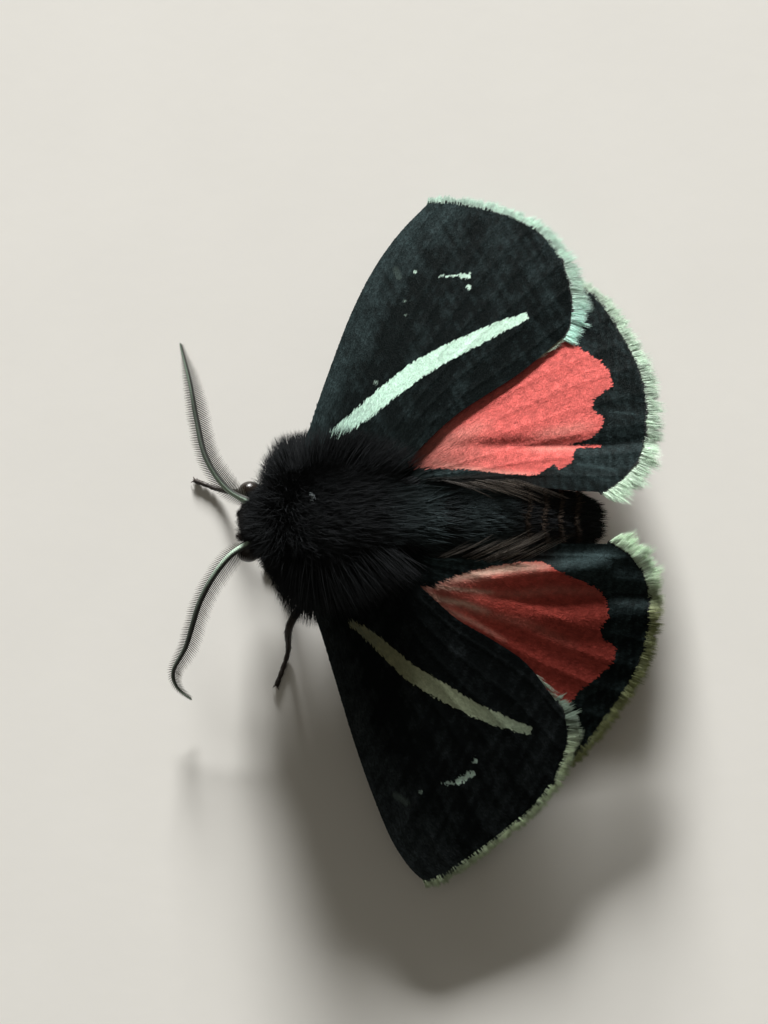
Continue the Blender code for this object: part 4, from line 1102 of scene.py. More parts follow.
def thorax_fur(coat):
    """Soft fur that stands out round the collar and lies rearward over the back."""
    size, draw, s, a, root, normal = coat_roots(coat, "thorax", NECK - 0.1, WAIST + 0.5)
    pull, tone = clump_pull(s, a, size["clump"], 0.35)
    under = ramp(-normal[:, 2], 0.0, 0.6)
    rear = ramp(root[:, 1], -2.2, 0.2)
    length = size["length"] * (1 + 0.45 * rear - 0.4 * under) * draw.uniform(0.75, 1.2, len(s))
    rise = size["rise"] * (1 - 0.35 * rear - 0.45 * under) * draw.uniform(0.75, 1.2, len(s))
    stray = 0.2 + 0.8 * np.exp(-((root[:, 1:2] + 5.9) / 0.75) ** 2)
    lie = unit(body_lie(root, normal) + stray * draw.normal(size=root.shape))
    right, left = (reach_to(root[:, :2], lie[:, :2], COAT_OUTLINE[name]) for name in ("right", "left"))
    room = np.where(root[:, 0] < 0, right, left)
    length = np.minimum(length, np.maximum(room - 0.3, 0.35))
    # Painted sheen: the upward-facing hairs toward the rear are lighter and blue-grey
    sheen = ramp(root[:, 1], -2.4, 0.0) * ramp(normal[:, 2], 0.2, 0.8)
    black = blend(sheen, np.array(coat.black), np.array(coat.sheen) * 0.9)
    tints = tones(len(s), black * 0.82, black * 1.15, draw, 0.18)
    tints = [tint * (0.85 + 0.3 * tone)[:, None] for tint in tints]
    strands = Strands(root, normal, lie, length, rise, size["width"], tints, fur_spot(s, a), sections=2, pull=pull,
                      droop=0.12 * length, clear=clear_of_wings)
    upper = normal[:, 2] > -0.2
    few = draw.random(len(s)) < UNDER_SHARE
    return strands, {"left": upper & (root[:, 0] >= 0), "right": upper & (root[:, 0] < 0), "under": ~upper & few}


def shoulder_fur(coat, name, side):
    """Long tufts that spread from a shoulder over the wing's base and end along the coat's outline."""
    size, draw, s, a, root, normal = coat_roots(coat, "shoulder", -6.3, -0.6)
    keep = (normal[:, 0] * side > 0.25) & (normal[:, 2] > -0.25)
    s, a, root, normal = s[keep], a[keep], root[keep], normal[keep]
    pull, tone = clump_pull(s, a, size["clump"], 0.5)
    spread = 1.9 * ramp(root[:, 1], -6.8, -1.4) - 0.75
    lie = np.column_stack([np.full(len(s), side), spread, np.zeros(len(s))])
    lie = unit(lie + [0.15, 0.15, 0.1] * draw.normal(size=root.shape))
    rise = size["rise"] * draw.uniform(0.4, 1.3, len(s))
    ahead = reach_to(root[:, :2], lie[:, :2], COAT_OUTLINE[name])
    short = 0.45 + 0.55 * ramp(draw.random(len(s)), 0.0, 0.5)
    length = np.clip(ahead * short * draw.uniform(0.88, 1.0, len(s)) - 0.6 * rise, 0.3, 3.2)
    tints = tones(len(s), np.array(coat.black) * 0.8, np.array(coat.black) * 1.15, draw, 0.22)
    tints = [tint * (0.7 + 0.3 * tone)[:, None] for tint in tints]
    return Strands(root, normal, lie, length, rise, size["width"], tints, fur_spot(s, a), sections=3, pull=pull,
                   droop=0.2 * length, clear=clear_of_wings)


def head_fur(coat):
    """Short fur brushed forward over the face, brown at its front, parted round the eyes."""
    size, draw, s, a, root, normal = coat_roots(coat, "head", -7.61, NECK)
    eye = np.append(EYE_PLACE, EYE_HEIGHT)
    mirrored = root * np.where(root[:, :1] < 0, [-1.0, 1.0, 1.0], 1.0)
    clear = np.linalg.norm(mirrored - eye, axis=1) > EYE_RADIUS + 0.08
    s, a, root, normal = s[clear], a[clear], root[clear], normal[clear]
    pull, _ = clump_pull(s, a, size["clump"], 0.6)
    length = size["length"] * draw.uniform(0.7, 1.25, len(s))
    rise = size["rise"] * draw.uniform(0.7, 1.3, len(s)) * (1 - 0.4 * ramp(-normal[:, 2], 0, 0.6))
    stray = 0.2 + 0.7 * ramp(root[:, 1:2], -6.9, -6.2)
    lie = unit(body_lie(root, normal) + stray * draw.normal(size=root.shape))
    front = ramp(-root[:, 1], 6.9, 7.4)
    black = np.broadcast_to(coat.black, root.shape)
    tips = blend(0.4 * front, black * 1.3, np.array(coat.brown) * 0.4)
    vary = draw.uniform(0.7, 1.3, (len(s), 1))
    return Strands(root, normal, lie, length, rise, size["width"], [black * vary, tips * vary], fur_spot(s, a),
                   sections=2, pull=pull, droop=0.05)


def abdomen_fur(coat):
    """Close fur lying rearward, with painted blue-grey sheen on top in front, with brown tips at the rear edge of
    each rear segment.
    """
    size, draw, s, a, root, normal = coat_roots(coat, "abdomen", WAIST, 7.4)
    y = root[:, 1]
    pull, tone = clump_pull(s, a, size["clump"], 0.45)
    front = 1 - ramp(y, 0.8, 3.6)
    tail = ramp(y, 6.5, 7.2)
    length = size["length"] * (1 + 0.9 * front - 0.25 * tail) * draw.uniform(0.7, 1.2, len(s))
    rise = (size["rise"] + 0.26 * front + 0.06 * tail) * draw.uniform(0.5, 1.4, len(s))
    lie = unit(REARWARD + 0.12 * draw.normal(size=root.shape) + normal * 0.25 * tail[:, None])
    lie = unit(lie - normal * (lie * normal).sum(-1, keepdims=True) * (1 - 0.5 * tail[:, None]))
    ring = np.exp(-((segment_share(y) - 0.3) / 0.13) ** 2) * ramp(y, 3.9, 4.4) * (1 - tail)
    black = np.broadcast_to(coat.black, root.shape)
    vary = draw.uniform(0.65, 1.35, (len(s), 1)) * (0.8 + 0.4 * tone)[:, None]
    # Painted sheen: the upward-facing hairs in front are lighter and blue-grey
    sheen = ramp(normal[:, 2], 0.1, 0.8) * ramp(y, 0.6, 1.8) * (1 - ramp(y, 3.4, 4.4))
    tips = blend(sheen, black * 1.2, np.array(coat.sheen))
    tips = blend(0.5 * ring * ramp(normal[:, 2], -0.1, 0.3), tips, np.array(coat.brown))
    return Strands(root, normal, lie, length, rise, size["width"], [black * vary, tips * vary], fur_spot(s, a),
                   sections=2, pull=pull, droop=0.03)


def ring_hairs(coat):
    """Short brown hairs that edge the rear segments of the abdomen, in slightly wavy rings."""
    draw = np.random.default_rng(SEEDS["rings"])
    y = np.repeat(np.array(RING_SEGMENTS) - 0.12, RING_HAIRS)
    count = len(y)
    a = draw.uniform(-0.15, np.pi + 0.15, count)
    y = y + 0.05 * np.sin(5 * a + y * 9) + draw.normal(0, 0.03, count)
    s = share_at(y)
    root, normal = body_frame(s, a)
    lie = unit(REARWARD + 0.25 * draw.normal(size=root.shape))
    brown = np.array(coat.brown) * [1.35, 1.6, 1.75] * draw.uniform(0.35, 1.4, (count, 1))
    return Strands(root, normal, lie, draw.uniform(0.14, 0.3, count), draw.uniform(0.16, 0.26, count), 0.016,
                   [brown, brown], fur_spot(s, a), sections=2)


def pale_fleck(coat):
    """A few pale hairs among the black ones of the back."""
    draw = np.random.default_rng(SEEDS["fleck"])
    y, slant, count = -4.3, math.radians(101), 18
    s = np.full(count, share_at(y)) + draw.normal(0, 0.002, count)
    a = slant + draw.normal(0, 0.03, count)
    root, normal = body_frame(s, a)
    lie = unit(np.array([0.25, 1.0, -0.1]) + 0.08 * draw.normal(size=root.shape))
    pale = np.broadcast_to(coat.fleck, root.shape) * draw.uniform(0.6, 1.2, (count, 1))
    return Strands(root, normal, lie, 0.42, 0.64, 0.022, [pale, pale], fur_spot(s, a))


class MOTH_OT_fur(bpy.types.Operator):
    """Build the fur of thorax, shoulders, head and abdomen"""
    bl_idname = "moth.fur"
    bl_label = "Fur"

    def execute(self, context):
        coat = context.scene.moth_coat
        finish = fur_finish()
        strands, regions = thorax_fur(coat)
        for region, keep in regions.items():
            shapes = [strands.flat(keep)]
            if region in SIDES:
                make_coat("shoulder_fur_" + region, [shoulder_fur(coat, region, SIDES[region]).flat()], finish)
            if region == "right":
                shapes.append(pale_fleck(coat).flat())
            make_coat("thorax_fur_" + region, shapes, finish)
        make_coat("head_fur", [head_fur(coat).flat()], finish)
        make_coat("abdomen_fur", [abdomen_fur(coat).flat(), ring_hairs(coat).flat()], finish)
        return {"FINISHED"}


class MOTH_OT_wings(bpy.types.Operator):
    """Build the four wing membranes with their veins, pleats and folds"""
    bl_idname = "moth.wings"
    bl_label = "Wings"

    def execute(self, context):
        settings = context.scene.moth_wings
        finish = membrane_finish()
        rows, columns = 110, 100
        v, u = np.meshgrid(np.linspace(0, 1, rows), np.linspace(0, 1, columns), indexing="ij")
        faces = grid_faces(rows, columns)
        index = np.arange(rows * columns).reshape(rows, columns)
        rim = np.concatenate([index[:-1, 0], index[-1, :-1], index[:0:-1, -1], index[0, :0:-1]])
        under = rows * columns
        wall = np.column_stack([rim, np.roll(rim, -1), np.roll(rim, -1) + under, rim + under])
        for kind, shapes in WINGS.items():
            seed = np.arange(u.size, dtype=float)
            for name, side in SIDES.items():
                shape = shapes[name]
                plan = wing_plan(shape, u.ravel(), v.ravel())
                tint = TINTERS[kind](settings, name, plan, u.ravel(), v.ravel(), np.zeros(u.size), seed)
                point, normal, _ = wing_frame(shape, side, u, v)
                thickness = MEMBRANE / 2 * (1 - MEMBRANE_TAPER * v[..., None])
                points = np.concatenate([(point + normal * thickness).reshape(-1, 3),
                                         (point - normal * thickness).reshape(-1, 3)])
                groups = [faces[:, ::-side], (faces + under)[:, ::side], wall[:, ::-side]]
                make(f"{kind}_membrane_{name}", points, groups, finish, replaces=(f"{kind}_{name}",),
                     tint=np.concatenate([tint, tint * UNDERSIDE + 0.004]))
        return {"FINISHED"}


def scale_places(shape, size, draw):
    """Places of a wing's scales: rows from root to edge, every other one set half a scale aside."""
    rows = round(shape["length"] / (size * SCALE["row"]))
    v = (np.arange(rows) + 0.5) / rows
    width = np.linalg.norm(wing_plan(shape, np.ones(rows), v) - wing_plan(shape, np.zeros(rows), v), axis=1)
    counts = np.maximum(width / (size * SCALE["gap"]), 6).astype(int)
    index = np.arange(counts.sum()) - np.repeat(np.cumsum(counts) - counts, counts)
    row = np.repeat(np.arange(rows), counts)
    total = len(index)
    u = np.clip((index + 0.5 * (row % 2) + 0.25 + draw.uniform(-0.2, 0.2, total)) / counts[row], 0.003, 0.997)
    return u, np.clip(v[row] + draw.uniform(-0.3, 0.3, total) / rows, 0, 0.996)


def scale_corners(shape, side, u, v, length, half, tilt, twist, roll):
    """The corners of scales: the outline laid along the wing, twisted, tilted and rolled, with a raised middle."""
    point, normal, outward = wing_frame(shape, side, u, v)
    across = np.cross(outward, normal)
    ahead = unit(outward + across * twist[:, None] + normal * tilt[:, None])
    across = unit(np.cross(ahead, normal) + normal * roll[:, None])
    up = np.cross(across, ahead)
    base = point + normal * (MEMBRANE / 2 + SCALE_LIFT) - ahead * SCALE["back"] * length[:, None]
    points = (base[:, None] + across[:, None] * (SCALE_OUTLINE[:, :1] * half[:, None, None])
              + ahead[:, None] * (SCALE_OUTLINE[:, 1:] * length[:, None, None])
              + up[:, None] * SCALE_CROWN * (1 - np.abs(SCALE_OUTLINE[:, :1])))
    return points.reshape(-1, 3)


class MOTH_OT_scales(bpy.types.Operator):
    """Cover the wings' upper sides with overlapping scales in rows"""
    bl_idname = "moth.scales"
    bl_label = "Wing scales"

    def execute(self, context):
        settings = context.scene.moth_wings
        size = settings.scale_length / MM
        for kind, shapes in WINGS.items():
            finish = scale_finish(kind + " scales", SCALE_GLOSS[kind])
            draw = np.random.default_rng(SEEDS["scales"])
            u, v = scale_places(shapes["right"], size, draw)
            total = len(u)
            rough, seed = draw.uniform(-1, 1, total), np.arange(total, dtype=float)
            # Toward the root the scales are long and narrow like hairs
            hairy = 1 - ramp(v, 0.1, 0.5)
            length = size * draw.uniform(0.85, 1.25, total) * (1 + 1.6 * hairy)
            half = size * SCALE["half_width"] * draw.uniform(0.85, 1.15, total) * (1 - 0.45 * hairy)
            tilt = draw.uniform(0.02, 0.12, total)
            twist = draw.normal(0, 0.1 + 0.06 * hairy, total)
            roll = draw.normal(0, 0.07, total)
            corners = len(SCALE_OUTLINE)
            faces = (SCALE_FACES + np.arange(total)[:, None, None] * corners).reshape(-1, 3)
            spot = np.clip(np.column_stack([u, v]), TUFT_PATCH, 1 - TUFT_PATCH)[:, None]
            spot = (spot + SCALE_OUTLINE * [0.5, 1.0] * TUFT_PATCH).reshape(-1, 2)
            for name, side in SIDES.items():
                shape = shapes[name]
                tint = TINTERS[kind](settings, name, wing_plan(shape, u, v), u, v, rough, seed)
                points = scale_corners(shape, side, u, v, length, half, tilt, twist, roll)
                make(f"{kind}_scales_{name}", points, [faces], finish, tint=np.repeat(tint, corners, axis=0),
                     tuft_uv=spot)
        return {"FINISHED"}


def edge_frame(shape, side, u, v):
    """A place near the wing's outer edge: the point, its upward normal, the way along the edge and the way out."""
    point, normal, outward = wing_frame(shape, side, u, v)
    along = unit(wing_way(shape, side, u, v, 4e-3, 0))
    out = np.cross(along, normal)
    out = unit(out * np.sign((out * outward).sum(-1, keepdims=True)))
    return point, normal, along, out


def pale_fringe(settings, kind, name, draw):
    """Long narrow scales in three layers along the outer edge, in clumps with ragged ends.

    The tips of a clump lean to its middle.
    """
    shape, side, count = WINGS[kind][name], SIDES[name], FRINGE_COUNT[kind]
    breadth = shape["breadth"]
    u = draw.random(count)
    layer = draw.integers(0, 3, count)
    point, normal, along, out = edge_frame(shape, side, u, np.full(count, 0.988))
    clump = np.floor(u * breadth / FRINGE_CLUMP + 0.37 * layer)
    middle = (clump + 0.5 - 0.37 * layer) * FRINGE_CLUMP / breadth
    seed = clump + 1000.0 * layer
    lean = 0.22 * (chance(seed) - 0.5) + draw.normal(0, 0.06, count) + 0.08
    lie = out + along * lean[:, None]
    if kind == "hindwing":
        lie = lie + 0.7 * REARWARD * ramp(u, 0.75, 0.95)[:, None]
    lie = unit(lie)
    reach = settings.fringe_length / MM * lookup(shape["fringe"], u) * (1.0 - 0.15 * layer)
    reach *= (0.78 + 0.36 * chance(seed, 5.0)) * draw.uniform(0.7, 1.08, count)
    tone = np.array(settings.mint if kind == "forewing" else settings.cream)
    tips = tone * (0.72 + 0.45 * draw.random(count))[:, None] * (0.74 + 0.5 * chance(seed, 2.0))[:, None]
    if kind == "forewing":
        tips = tips * (0.8 + 0.2 * ramp(u, 0.1, 0.4))[:, None]
    # Painted light and shade along the fringe, from front to rear
    front, rear, low, high = FRINGE_LIGHT_AND_SHADE[kind][name]
    tips = blend(ramp(u, low, high), tips * front, tips * rear)
    # The left wings' fringes are shorter, most so in the middle of the edge
    if kind == "forewing" and name == "left":
        reach *= 0.64 + 0.36 * np.exp(-(u / 0.15) ** 2) + 0.16 * ramp(u, 0.74, 0.9)
    elif name == "left":
        reach *= 0.8 + 0.15 * ramp(u, 0.65, 0.85)
    pull = along * ((middle - u) * breadth * 0.3)[:, None] + normal * draw.normal(0, 0.02, (count, 1))
    root = point - out * 0.04 + normal * (0.02 * (layer - 1))[:, None]
    spot = np.column_stack([u, 0.4 + 0.1 * layer])
    return Strands(root, normal, lie, reach + 0.19, 0.03 * (layer - 1) + draw.normal(0, 0.03, count), 0.018,
                   [tips * 0.85, tips], spot, sections=2, thin=0.3, pull=pull, droop=0.03).flat()


def fringe_teeth(settings, shape, side, draw):
    """Black scales that lie like teeth over the fringe's base."""
    count = TEETH_COUNT
    u = draw.random(count)
    point, normal, along, out = edge_frame(shape, side, u, np.full(count, 0.993))
    clump = np.floor(u * shape["breadth"] / TEETH_CLUMP)
    lie = unit(out + along * draw.normal(0, 0.14, count)[:, None])
    length = 0.13 + 0.2 * chance(clump, 3.0) * draw.uniform(0.5, 1.2, count)
    dark = np.array(settings.black) * draw.uniform(0.8, 1.8, (count, 1))
    return Strands(point - out * 0.05 + normal * 0.035, normal, lie, length, 0.035, 0.034, [dark, dark],
                   np.column_stack([u, np.full(count, 0.8)]), sections=2, thin=0.3, droop=0.02).flat()


def corner_hairs(settings, shape, side):
    """Sparse pale hairs along the rear edge near the forewing's rear corner."""
    draw = np.random.default_rng(SEEDS["corner"])
    count = 46
    v = 1 - 0.16 * draw.random(count) ** 1.3
    edge = np.full(count, 0.995)
    point, normal, _ = wing_frame(shape, side, edge, v)
    along = unit(wing_point(shape, side, edge, v) - wing_point(shape, side, edge, v - 0.02))
    rearward = np.column_stack([np.full(count, -side * 0.2), np.ones(count), np.full(count, -0.1)])
    lie = unit(along * 0.9 + rearward * draw.uniform(0.2, 0.7, (count, 1)))
    pale = np.array(settings.cream) * draw.uniform(0.5, 1.0, (count, 1))
    return Strands(point, normal, lie, draw.uniform(0.4, 0.95, count), 0.04, 0.014, [pale * 0.5, pale],
                   np.column_stack([np.full(count, 0.9), v]), droop=0.05).flat()


def costal_hairs(settings, shape, side):
    """Short dark hairs along the forewing's front edge, lying outward and forward."""
    draw = np.random.default_rng(SEEDS["costa"])
    count = 1000
    v = draw.uniform(0.12, 0.99, count)
    point, normal, outward = wing_frame(shape, side, np.full(count, 0.004), v)
    ahead = np.cross(normal, outward) * side
    lie = unit(outward + ahead * draw.uniform(0.15, 0.9, (count, 1)))
    dark = blend(draw.random(count) * 0.8, np.array(settings.black), np.array(settings.sheen))
    return Strands(point, normal, lie, draw.uniform(0.1, 0.26, count), draw.normal(0.0, 0.02, count), 0.02,
                   [dark, dark], np.column_stack([np.full(count, 0.02), v]), sections=2, thin=0.4).flat()


class MOTH_OT_fringes(bpy.types.Operator):
    """Build the pale fringes along the wings' outer edges"""
    bl_idname = "moth.fringes"
    bl_label = "Fringes"

    def execute(self, context):
        settings = context.scene.moth_wings
        finish = pale_hair_finish()
        for kind, shapes in WINGS.items():
            for name, side in SIDES.items():
                draw = np.random.default_rng(SEEDS["fringe"])
                layers = [pale_fringe(settings, kind, name, draw),
                          fringe_teeth(settings, shapes[name], side, draw)]
                if kind == "forewing":
                    layers.append(corner_hairs(settings, shapes[name], side))
                    layers.append(costal_hairs(settings, shapes[name], side))
                make_coat(f"{kind}_fringe_{name}", layers, finish)
        return {"FINISHED"}


class MOTH_OT_wing_hairs(bpy.types.Operator):
    """Build the long pale hairs along the hindwings' rear edges, over the abdomen"""
    bl_idname = "moth.wing_hairs"
    bl_label = "Wing hairs"

    def execute(self, context):
        coat = context.scene.moth_coat
        finish = pale_hair_finish()
        bundles, each = 9, 11
        count = bundles * each
        for name, side in SIDES.items():
            draw = np.random.default_rng(SEEDS["wing hairs"])
            group = np.repeat(np.arange(bundles), each)
            v = 0.16 + 0.36 * (group + 2.0 * chance(group, 2.0)) / (bundles + 2) + draw.normal(0, 0.012, count)
            u = np.clip(WING_HAIRS[name]["root"] + 0.075 * chance(group, 4.0) + draw.normal(0, 0.009, count), 0, 1)
            root, normal, _ = wing_frame(WINGS["hindwing"][name], side, u, v)
            inward = WING_HAIRS[name]["lean"] + 0.16 * chance(group, 1.0) + draw.normal(0, 0.04, count)
            lie = unit(np.column_stack([-side * inward, np.ones(count), draw.normal(0.05, 0.02, count)]))
            length = (1.5 + 1.8 * chance(group, 3.0)) * draw.uniform(0.6, 1.0, count)
            pull = np.array([-side * 0.22, 0.0, 0.0]) * length[:, None]
            pale = np.array(coat.pale) * (0.5 + 0.9 * chance(group, 5.0))[:, None]
            pale = pale * draw.uniform(0.7, 1.3, (count, 1))
            strands = Strands(root, normal, lie, length, draw.uniform(0.16, 0.3, count), 0.0105,
                              [pale * 0.6, pale], np.column_stack([u, v]), sections=5, pull=pull)
            make_coat("hindwing_hairs_" + name, [strands.flat()], finish)
        return {"FINISHED"}


class MOTH_OT_eyes(bpy.types.Operator):
    """Build the two compound eyes"""
    bl_idname = "moth.eyes"
    bl_label = "Eyes"

    def execute(self, context):
        finish = eye_finish()
        rows, columns = 40, 64
        tilt, turn = np.meshgrid(np.linspace(0, np.pi, rows), np.arange(columns) * 2 * np.pi / columns, indexing="ij")
        ball = np.stack([np.sin(tilt) * np.cos(turn), np.cos(tilt), np.sin(tilt) * np.sin(turn)], axis=-1)
        ball, faces = closed_rings(ball, 1)
        for name, side in SIDES.items():
            middle = np.array([side * (EYE_PLACE[0] - EYE_INSET), EYE_PLACE[1], EYE_HEIGHT])
            points = middle + ball * EYE_RADIUS * EYE_STRETCH
            make("compound_eye_" + name, points, faces, finish, replaces=("eye_" + name,))
        return {"FINISHED"}


class MOTH_OT_feelers(bpy.types.Operator):
    """Build the feelers: a segmented shaft with two rows of fine rays"""
    bl_idname = "moth.feelers"
    bl_label = "Feelers"

    def execute(self, context):
        settings = context.scene.moth_feelers
        finish = feeler_finish()
        for name, side in SIDES.items():
            f = np.linspace(0, 1, 320)
            path = smooth_path(FEELERS[name], f)
            ahead, sideways, above = frames(path)
            beads = 1 + 0.035 * np.cos(2 * np.pi * f * settings.rays)
            points, groups = tube(path, lookup(SHAFT_PROFILE, f) * beads, SHAFT_SIDES)
            turn = np.arange(SHAFT_SIDES) * 2 * np.pi / SHAFT_SIDES
            pale_side = np.tile(0.65 * np.sin(turn) + 0.75 * side * np.cos(turn), len(f))
            pale = ramp(pale_side, 0.15, 0.7) * lookup(PALE_SHAFT[name], np.repeat(f, SHAFT_SIDES))
            tint = blend(np.clip(pale, 0, 1), np.broadcast_to(settings.dark, points.shape), np.array(settings.pale))
            shapes = [(points, groups, tint, np.full((len(points), 2), 0.5))]
            draw = np.random.default_rng(SEEDS["feeler"])
            for row, reach in RAY_REACH.items():
                at = np.linspace(0.05, 0.98, settings.rays) + (0.3 / settings.rays if row == "rear" else 0.0)
                at = np.minimum(at, 0.985)
                spot = np.round(at * (len(f) - 1)).astype(int)
                out = sideways[spot] * side * (1 if row == "front" else -1)
                length = reach * lookup(RAY_LENGTHS, at) * draw.uniform(0.93, 1.06, len(at))
                shade = np.array([settings.dark]) * draw.uniform(0.8, 1.3, (len(at), 1))
                tips = np.array(settings.ray) * shade / shade.mean()
                strands = Strands(path[spot], above[spot], unit(out + ahead[spot] * 0.12), length, -0.03, 0.033,
                                  [shade, tips], np.column_stack([at, np.full(len(at), 0.5)]), thin=1.0,
                                  pull=ahead[spot] * 0.1, droop=0.08)
                shapes.append(strands.flat())
            make_coat("feathered_feeler_" + name, shapes, finish, replaces=("antenna_" + name,))
        return {"FINISHED"}


def limb_hairs(path, radii, draw, count, length):
    """Short hairs lying along a limb, rooted evenly all round it."""
    f = draw.random(count)
    spot = np.minimum((f * (len(path) - 1)).astype(int), len(path) - 2)
    ahead, sideways, above = frames(path)
    turn = draw.uniform(0, 2 * np.pi, count)
    normal = np.cos(turn)[:, None] * sideways[spot] + np.sin(turn)[:, None] * above[spot]
    between = (f * (len(path) - 1) - spot)[:, None]
    root = path[spot] * (1 - between) + path[spot + 1] * between + normal * radii[spot][:, None] * 0.9
    fine = radii[spot] / radii.max()
    lie = unit(ahead[spot] + 0.15 * draw.normal(size=root.shape))
    vary = draw.uniform(0.6, 1.5, (count, 1))

    def above_floor(points):
        """Keep hairs off the floor."""
        points[..., 2] = np.maximum(points[..., 2], HAIR_WIDTH)
        return points

    return Strands(root, normal, lie, length * fine * draw.uniform(0.7, 1.3, count), 0.09 * fine,
                   HAIR_WIDTH * (0.5 + 0.5 * fine), [LEG_TINT * vary, LEG_TINT * vary * 1.6],
                   np.column_stack([turn / (2 * np.pi), f]), sections=2, clear=above_floor)


def claws(path, ahead, sideways):
    """A foot's two claws: tapering tubes that part to either side, arch up and come down to the floor."""
    shapes = []
    g = np.linspace(0, 1, 10)
    arch = CLAW["arch"] * np.sin(np.pi * g) - CLAW["drop"] * g ** 2
    for way in (-1, 1):
        out = ahead[-1] * math.cos(CLAW["spread"]) + sideways[-1] * way * math.sin(CLAW["spread"])
        claw = path[-1] - ahead[-1] * CLAW["overlap"] + out * CLAW["length"] * g[:, None]
        claw[:, 2] = np.maximum(CLAW["radius"], path[-1, 2] + arch)
        shapes.append(tube(claw, CLAW["radius"] * (1 - 0.9 * g ** 1.5), HORN_SIDES))
    return shapes


def spurs(path, ahead, sideways):
    """A shin's two spurs: straight tapering tubes, one to either side."""
    at = round(SPUR["place"] * (len(path) - 1))
    g = np.linspace(0, 1, 8)
    ways = [ahead[at] + sideways[at] * way * SPUR["spread"] for way in (1, -1)]
    return [tube(path[at] + way * SPUR["length"] * g[:, None], SPUR["radius"] * (1 - 0.85 * g), HORN_SIDES)
            for way in ways]


class MOTH_OT_legs(bpy.types.Operator):
    """Build the legs, palps, claws and their short coat"""
    bl_idname = "moth.legs"
    bl_label = "Legs and palps"

    def execute(self, context):
        cuticle, horn, fur = cuticle_finish(), claw_finish(), fur_finish()
        f = np.linspace(0, 1, 90)
        # The foot narrows at each of its joints
        thickness = lookup(LEG_PROFILE, f)
        joint = (f - FOOT_START) / (1 - FOOT_START) * FOOT_JOINTS
        from_joint = np.minimum(joint % 1.0, 1 - joint % 1.0)
        thickness = thickness * np.where(f > FOOT_START, 1 - 0.28 * np.exp(-(from_joint / 0.14) ** 2), 1.0)
        horns = []
        for index, (name, points) in enumerate(LEGS.items()):
            draw = np.random.default_rng(SEEDS["legs"] + index)
            path = smooth_path(points, f)
            shape, groups = tube(path, thickness, LIMB_SIDES)
            shape[:, 2] = np.maximum(shape[:, 2], 0.0)
            make(name + "_limb", shape, groups, cuticle, replaces=(name,))
            hairs = limb_hairs(path, thickness, draw, **LEG_HAIRS)
            make_coat(name + "_coat", [hairs.flat()], fur)
            ahead, sideways, _ = frames(path)
            horns += claws(path, ahead, sideways)
            if "fore" not in name:
                horns += spurs(path, ahead, sideways)
        points, groups = joined(horns)
        points[:, 2] = np.maximum(points[:, 2], 0.0)
        make("claws_and_spurs", points, groups, horn)
        f = np.linspace(0, 1, 40)
        for name, side in SIDES.items():
            path = smooth_path([(side * x, y, z) for x, y, z in PALP], f)
            radii = lookup(PALP_PROFILE, f)
            shape, groups = tube(path, radii, LIMB_SIDES)
            make("palp_limb_" + name, shape, groups, cuticle, replaces=("palp_" + name,))
            draw = np.random.default_rng(SEEDS["palp"])
            hairs = limb_hairs(path, radii, draw, **PALP_HAIRS)
            make_coat("palp_coat_" + name, [hairs.flat()], fur)
        return {"FINISHED"}


def view_axes():
    """The camera's place and the image's right and downward ways, turned in the image by a small angle."""
    across, ahead, turn = VIEW["across"], VIEW["ahead"], VIEW["turn"]
    back = np.array([math.sin(across) * math.cos(ahead), math.sin(ahead), math.cos(across) * math.cos(ahead)])
    right = unit(np.array([0.0, 1.0, 0.0]) - back * back[1])
    down = -np.cross(back, right)
    rightward = math.cos(turn) * right + math.sin(turn) * down
    downward = -math.sin(turn) * right + math.cos(turn) * down
    return np.array(VIEW["target"]) + back * VIEW["distance"], rightward, downward


def area_light(name, place, target, size, power, colour):
    """A square soft light that shines from one place to another."""
    light = bpy.data.lights.new(name, "AREA")
    light.shape = "SQUARE"
    light.size = size
    light.energy = power
    light.color = colour
    lamp = bpy.data.objects.new(name, light)
    aim = (Vector(target) - Vector(place)).to_track_quat("-Z", "Y")
    lamp.matrix_world = Matrix.LocRotScale(Vector(place), aim, None)
    bpy.context.scene.collection.objects.link(lamp)


def add_camera(scene):
    """The camera, aimed so that the view's target falls on its pixel of the image."""
    place, right, down = view_axes()
    off = (np.array(IMAGE) / 2 - VIEW["target_pixel"]) / VIEW["pixels_per_mm"]
    aim = np.array(VIEW["target"]) + off[0] * right + off[1] * down
    back = unit(place - aim)
    right = unit(right - back * (right @ back))
    turn = np.column_stack([right, np.cross(back, right), back])
    data = bpy.data.cameras.new("camera")
    data.sensor_width = data.sensor_height = SENSOR
    data.lens = VIEW["pixels_per_mm"] * VIEW["distance"] / IMAGE[1] * SENSOR
    data.clip_start = 0.005
    data.clip_end = 10.0
    camera = bpy.data.objects.new("camera", data)
    camera.matrix_world = Matrix.LocRotScale(Vector((place - CENTRE) * MM), Matrix(turn.tolist()), None)
    scene.collection.objects.link(camera)
    scene.camera = camera


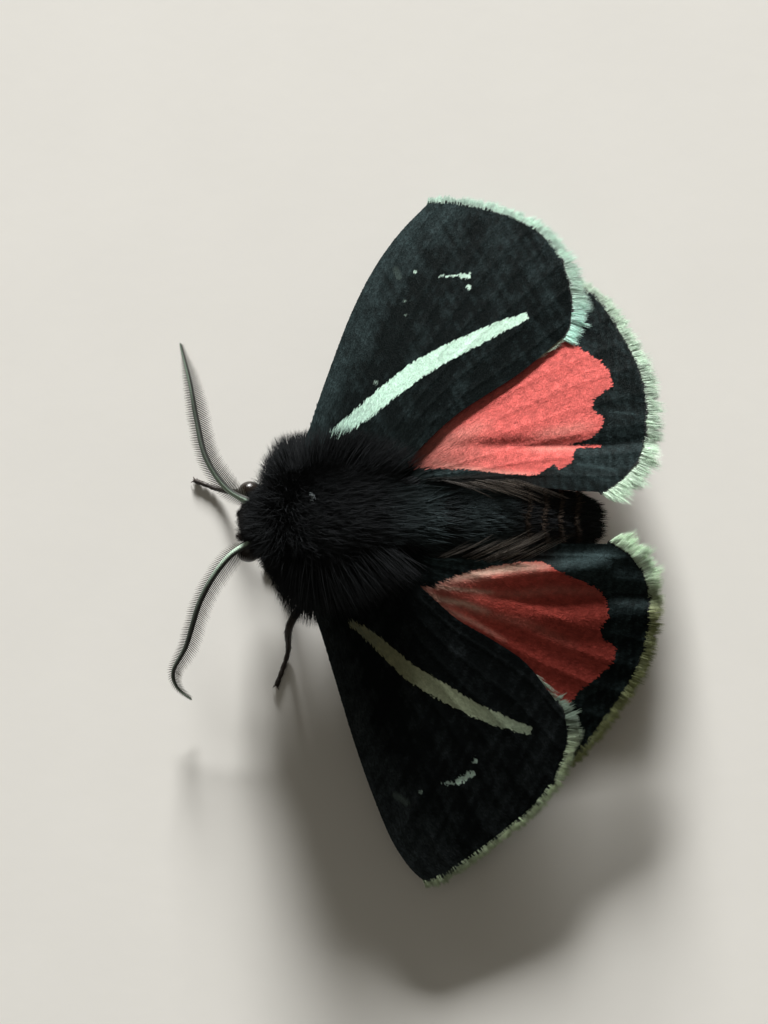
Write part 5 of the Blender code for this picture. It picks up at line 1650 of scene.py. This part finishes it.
class MOTH_OT_stage(bpy.types.Operator):
    """Set the floor, the soft lights and the camera"""
    bl_idname = "moth.stage"
    bl_label = "Stage"

    def execute(self, context):
        settings = context.scene.moth_stage
        mesh = bpy.data.meshes.new("floor")
        corners = [(-FLOOR_HALF, -FLOOR_HALF, 0), (FLOOR_HALF, -FLOOR_HALF, 0), (FLOOR_HALF, FLOOR_HALF, 0),
                   (-FLOOR_HALF, FLOOR_HALF, 0)]
        mesh.from_pydata(corners, [], [(0, 1, 2, 3)])
        mesh.materials.append(floor_finish(settings.floor))
        floor = bpy.data.objects.new("floor", mesh)
        context.scene.collection.objects.link(floor)
        area_light("key", power=settings.key, **KEY_LIGHT)
        area_light("fill", power=settings.fill, **FILL_LIGHT)
        world = bpy.data.worlds.new("soft room")
        world.use_nodes = True
        sky = world.node_tree.nodes["Background"].inputs
        sky["Color"].default_value = SKY_COLOUR
        sky["Strength"].default_value = settings.sky
        context.scene.world = world
        context.scene.view_settings.view_transform = "Standard"
        add_camera(context.scene)
        return {"FINISHED"}


PIECES = (MOTH_OT_skin, MOTH_OT_fur, MOTH_OT_wings, MOTH_OT_scales, MOTH_OT_fringes, MOTH_OT_wing_hairs,
          MOTH_OT_eyes, MOTH_OT_feelers, MOTH_OT_legs, MOTH_OT_stage)
SETTINGS = {"moth_coat": CoatSettings, "moth_wings": WingSettings, "moth_feelers": FeelerSettings,
            "moth_stage": StageSettings}


class MOTH_PT_panel(bpy.types.Panel):
    """The moth's settings and the operators that build it"""
    bl_idname = "MOTH_PT_panel"
    bl_label = "Tiger moth"
    bl_space_type = "VIEW_3D"
    bl_region_type = "UI"
    bl_category = "Moth"

    def draw(self, context):
        for name in SETTINGS:
            box = self.layout.box()
            group = getattr(context.scene, name)
            for prop in group.bl_rna.properties:
                if not prop.is_readonly and prop.identifier != "name":
                    box.prop(group, prop.identifier)
        for piece in PIECES:
            self.layout.operator(piece.bl_idname)


def register():
    """Register the settings, the operators and the panel."""
    for name, group in SETTINGS.items():
        bpy.utils.register_class(group)
        setattr(bpy.types.Scene, name, PointerProperty(type=group))
    for item in (*PIECES, MOTH_PT_panel):
        bpy.utils.register_class(item)


def unregister():
    """Take away what register added."""
    for item in (MOTH_PT_panel, *reversed(PIECES)):
        bpy.utils.unregister_class(item)
    for name, group in SETTINGS.items():
        delattr(bpy.types.Scene, name)
        bpy.utils.unregister_class(group)


def main():
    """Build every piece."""
    register()
    for piece in PIECES:
        area, name = piece.bl_idname.split(".")
        getattr(getattr(bpy.ops, area), name)()
    bpy.context.view_layer.update()


if __name__ == "__main__":
    main()
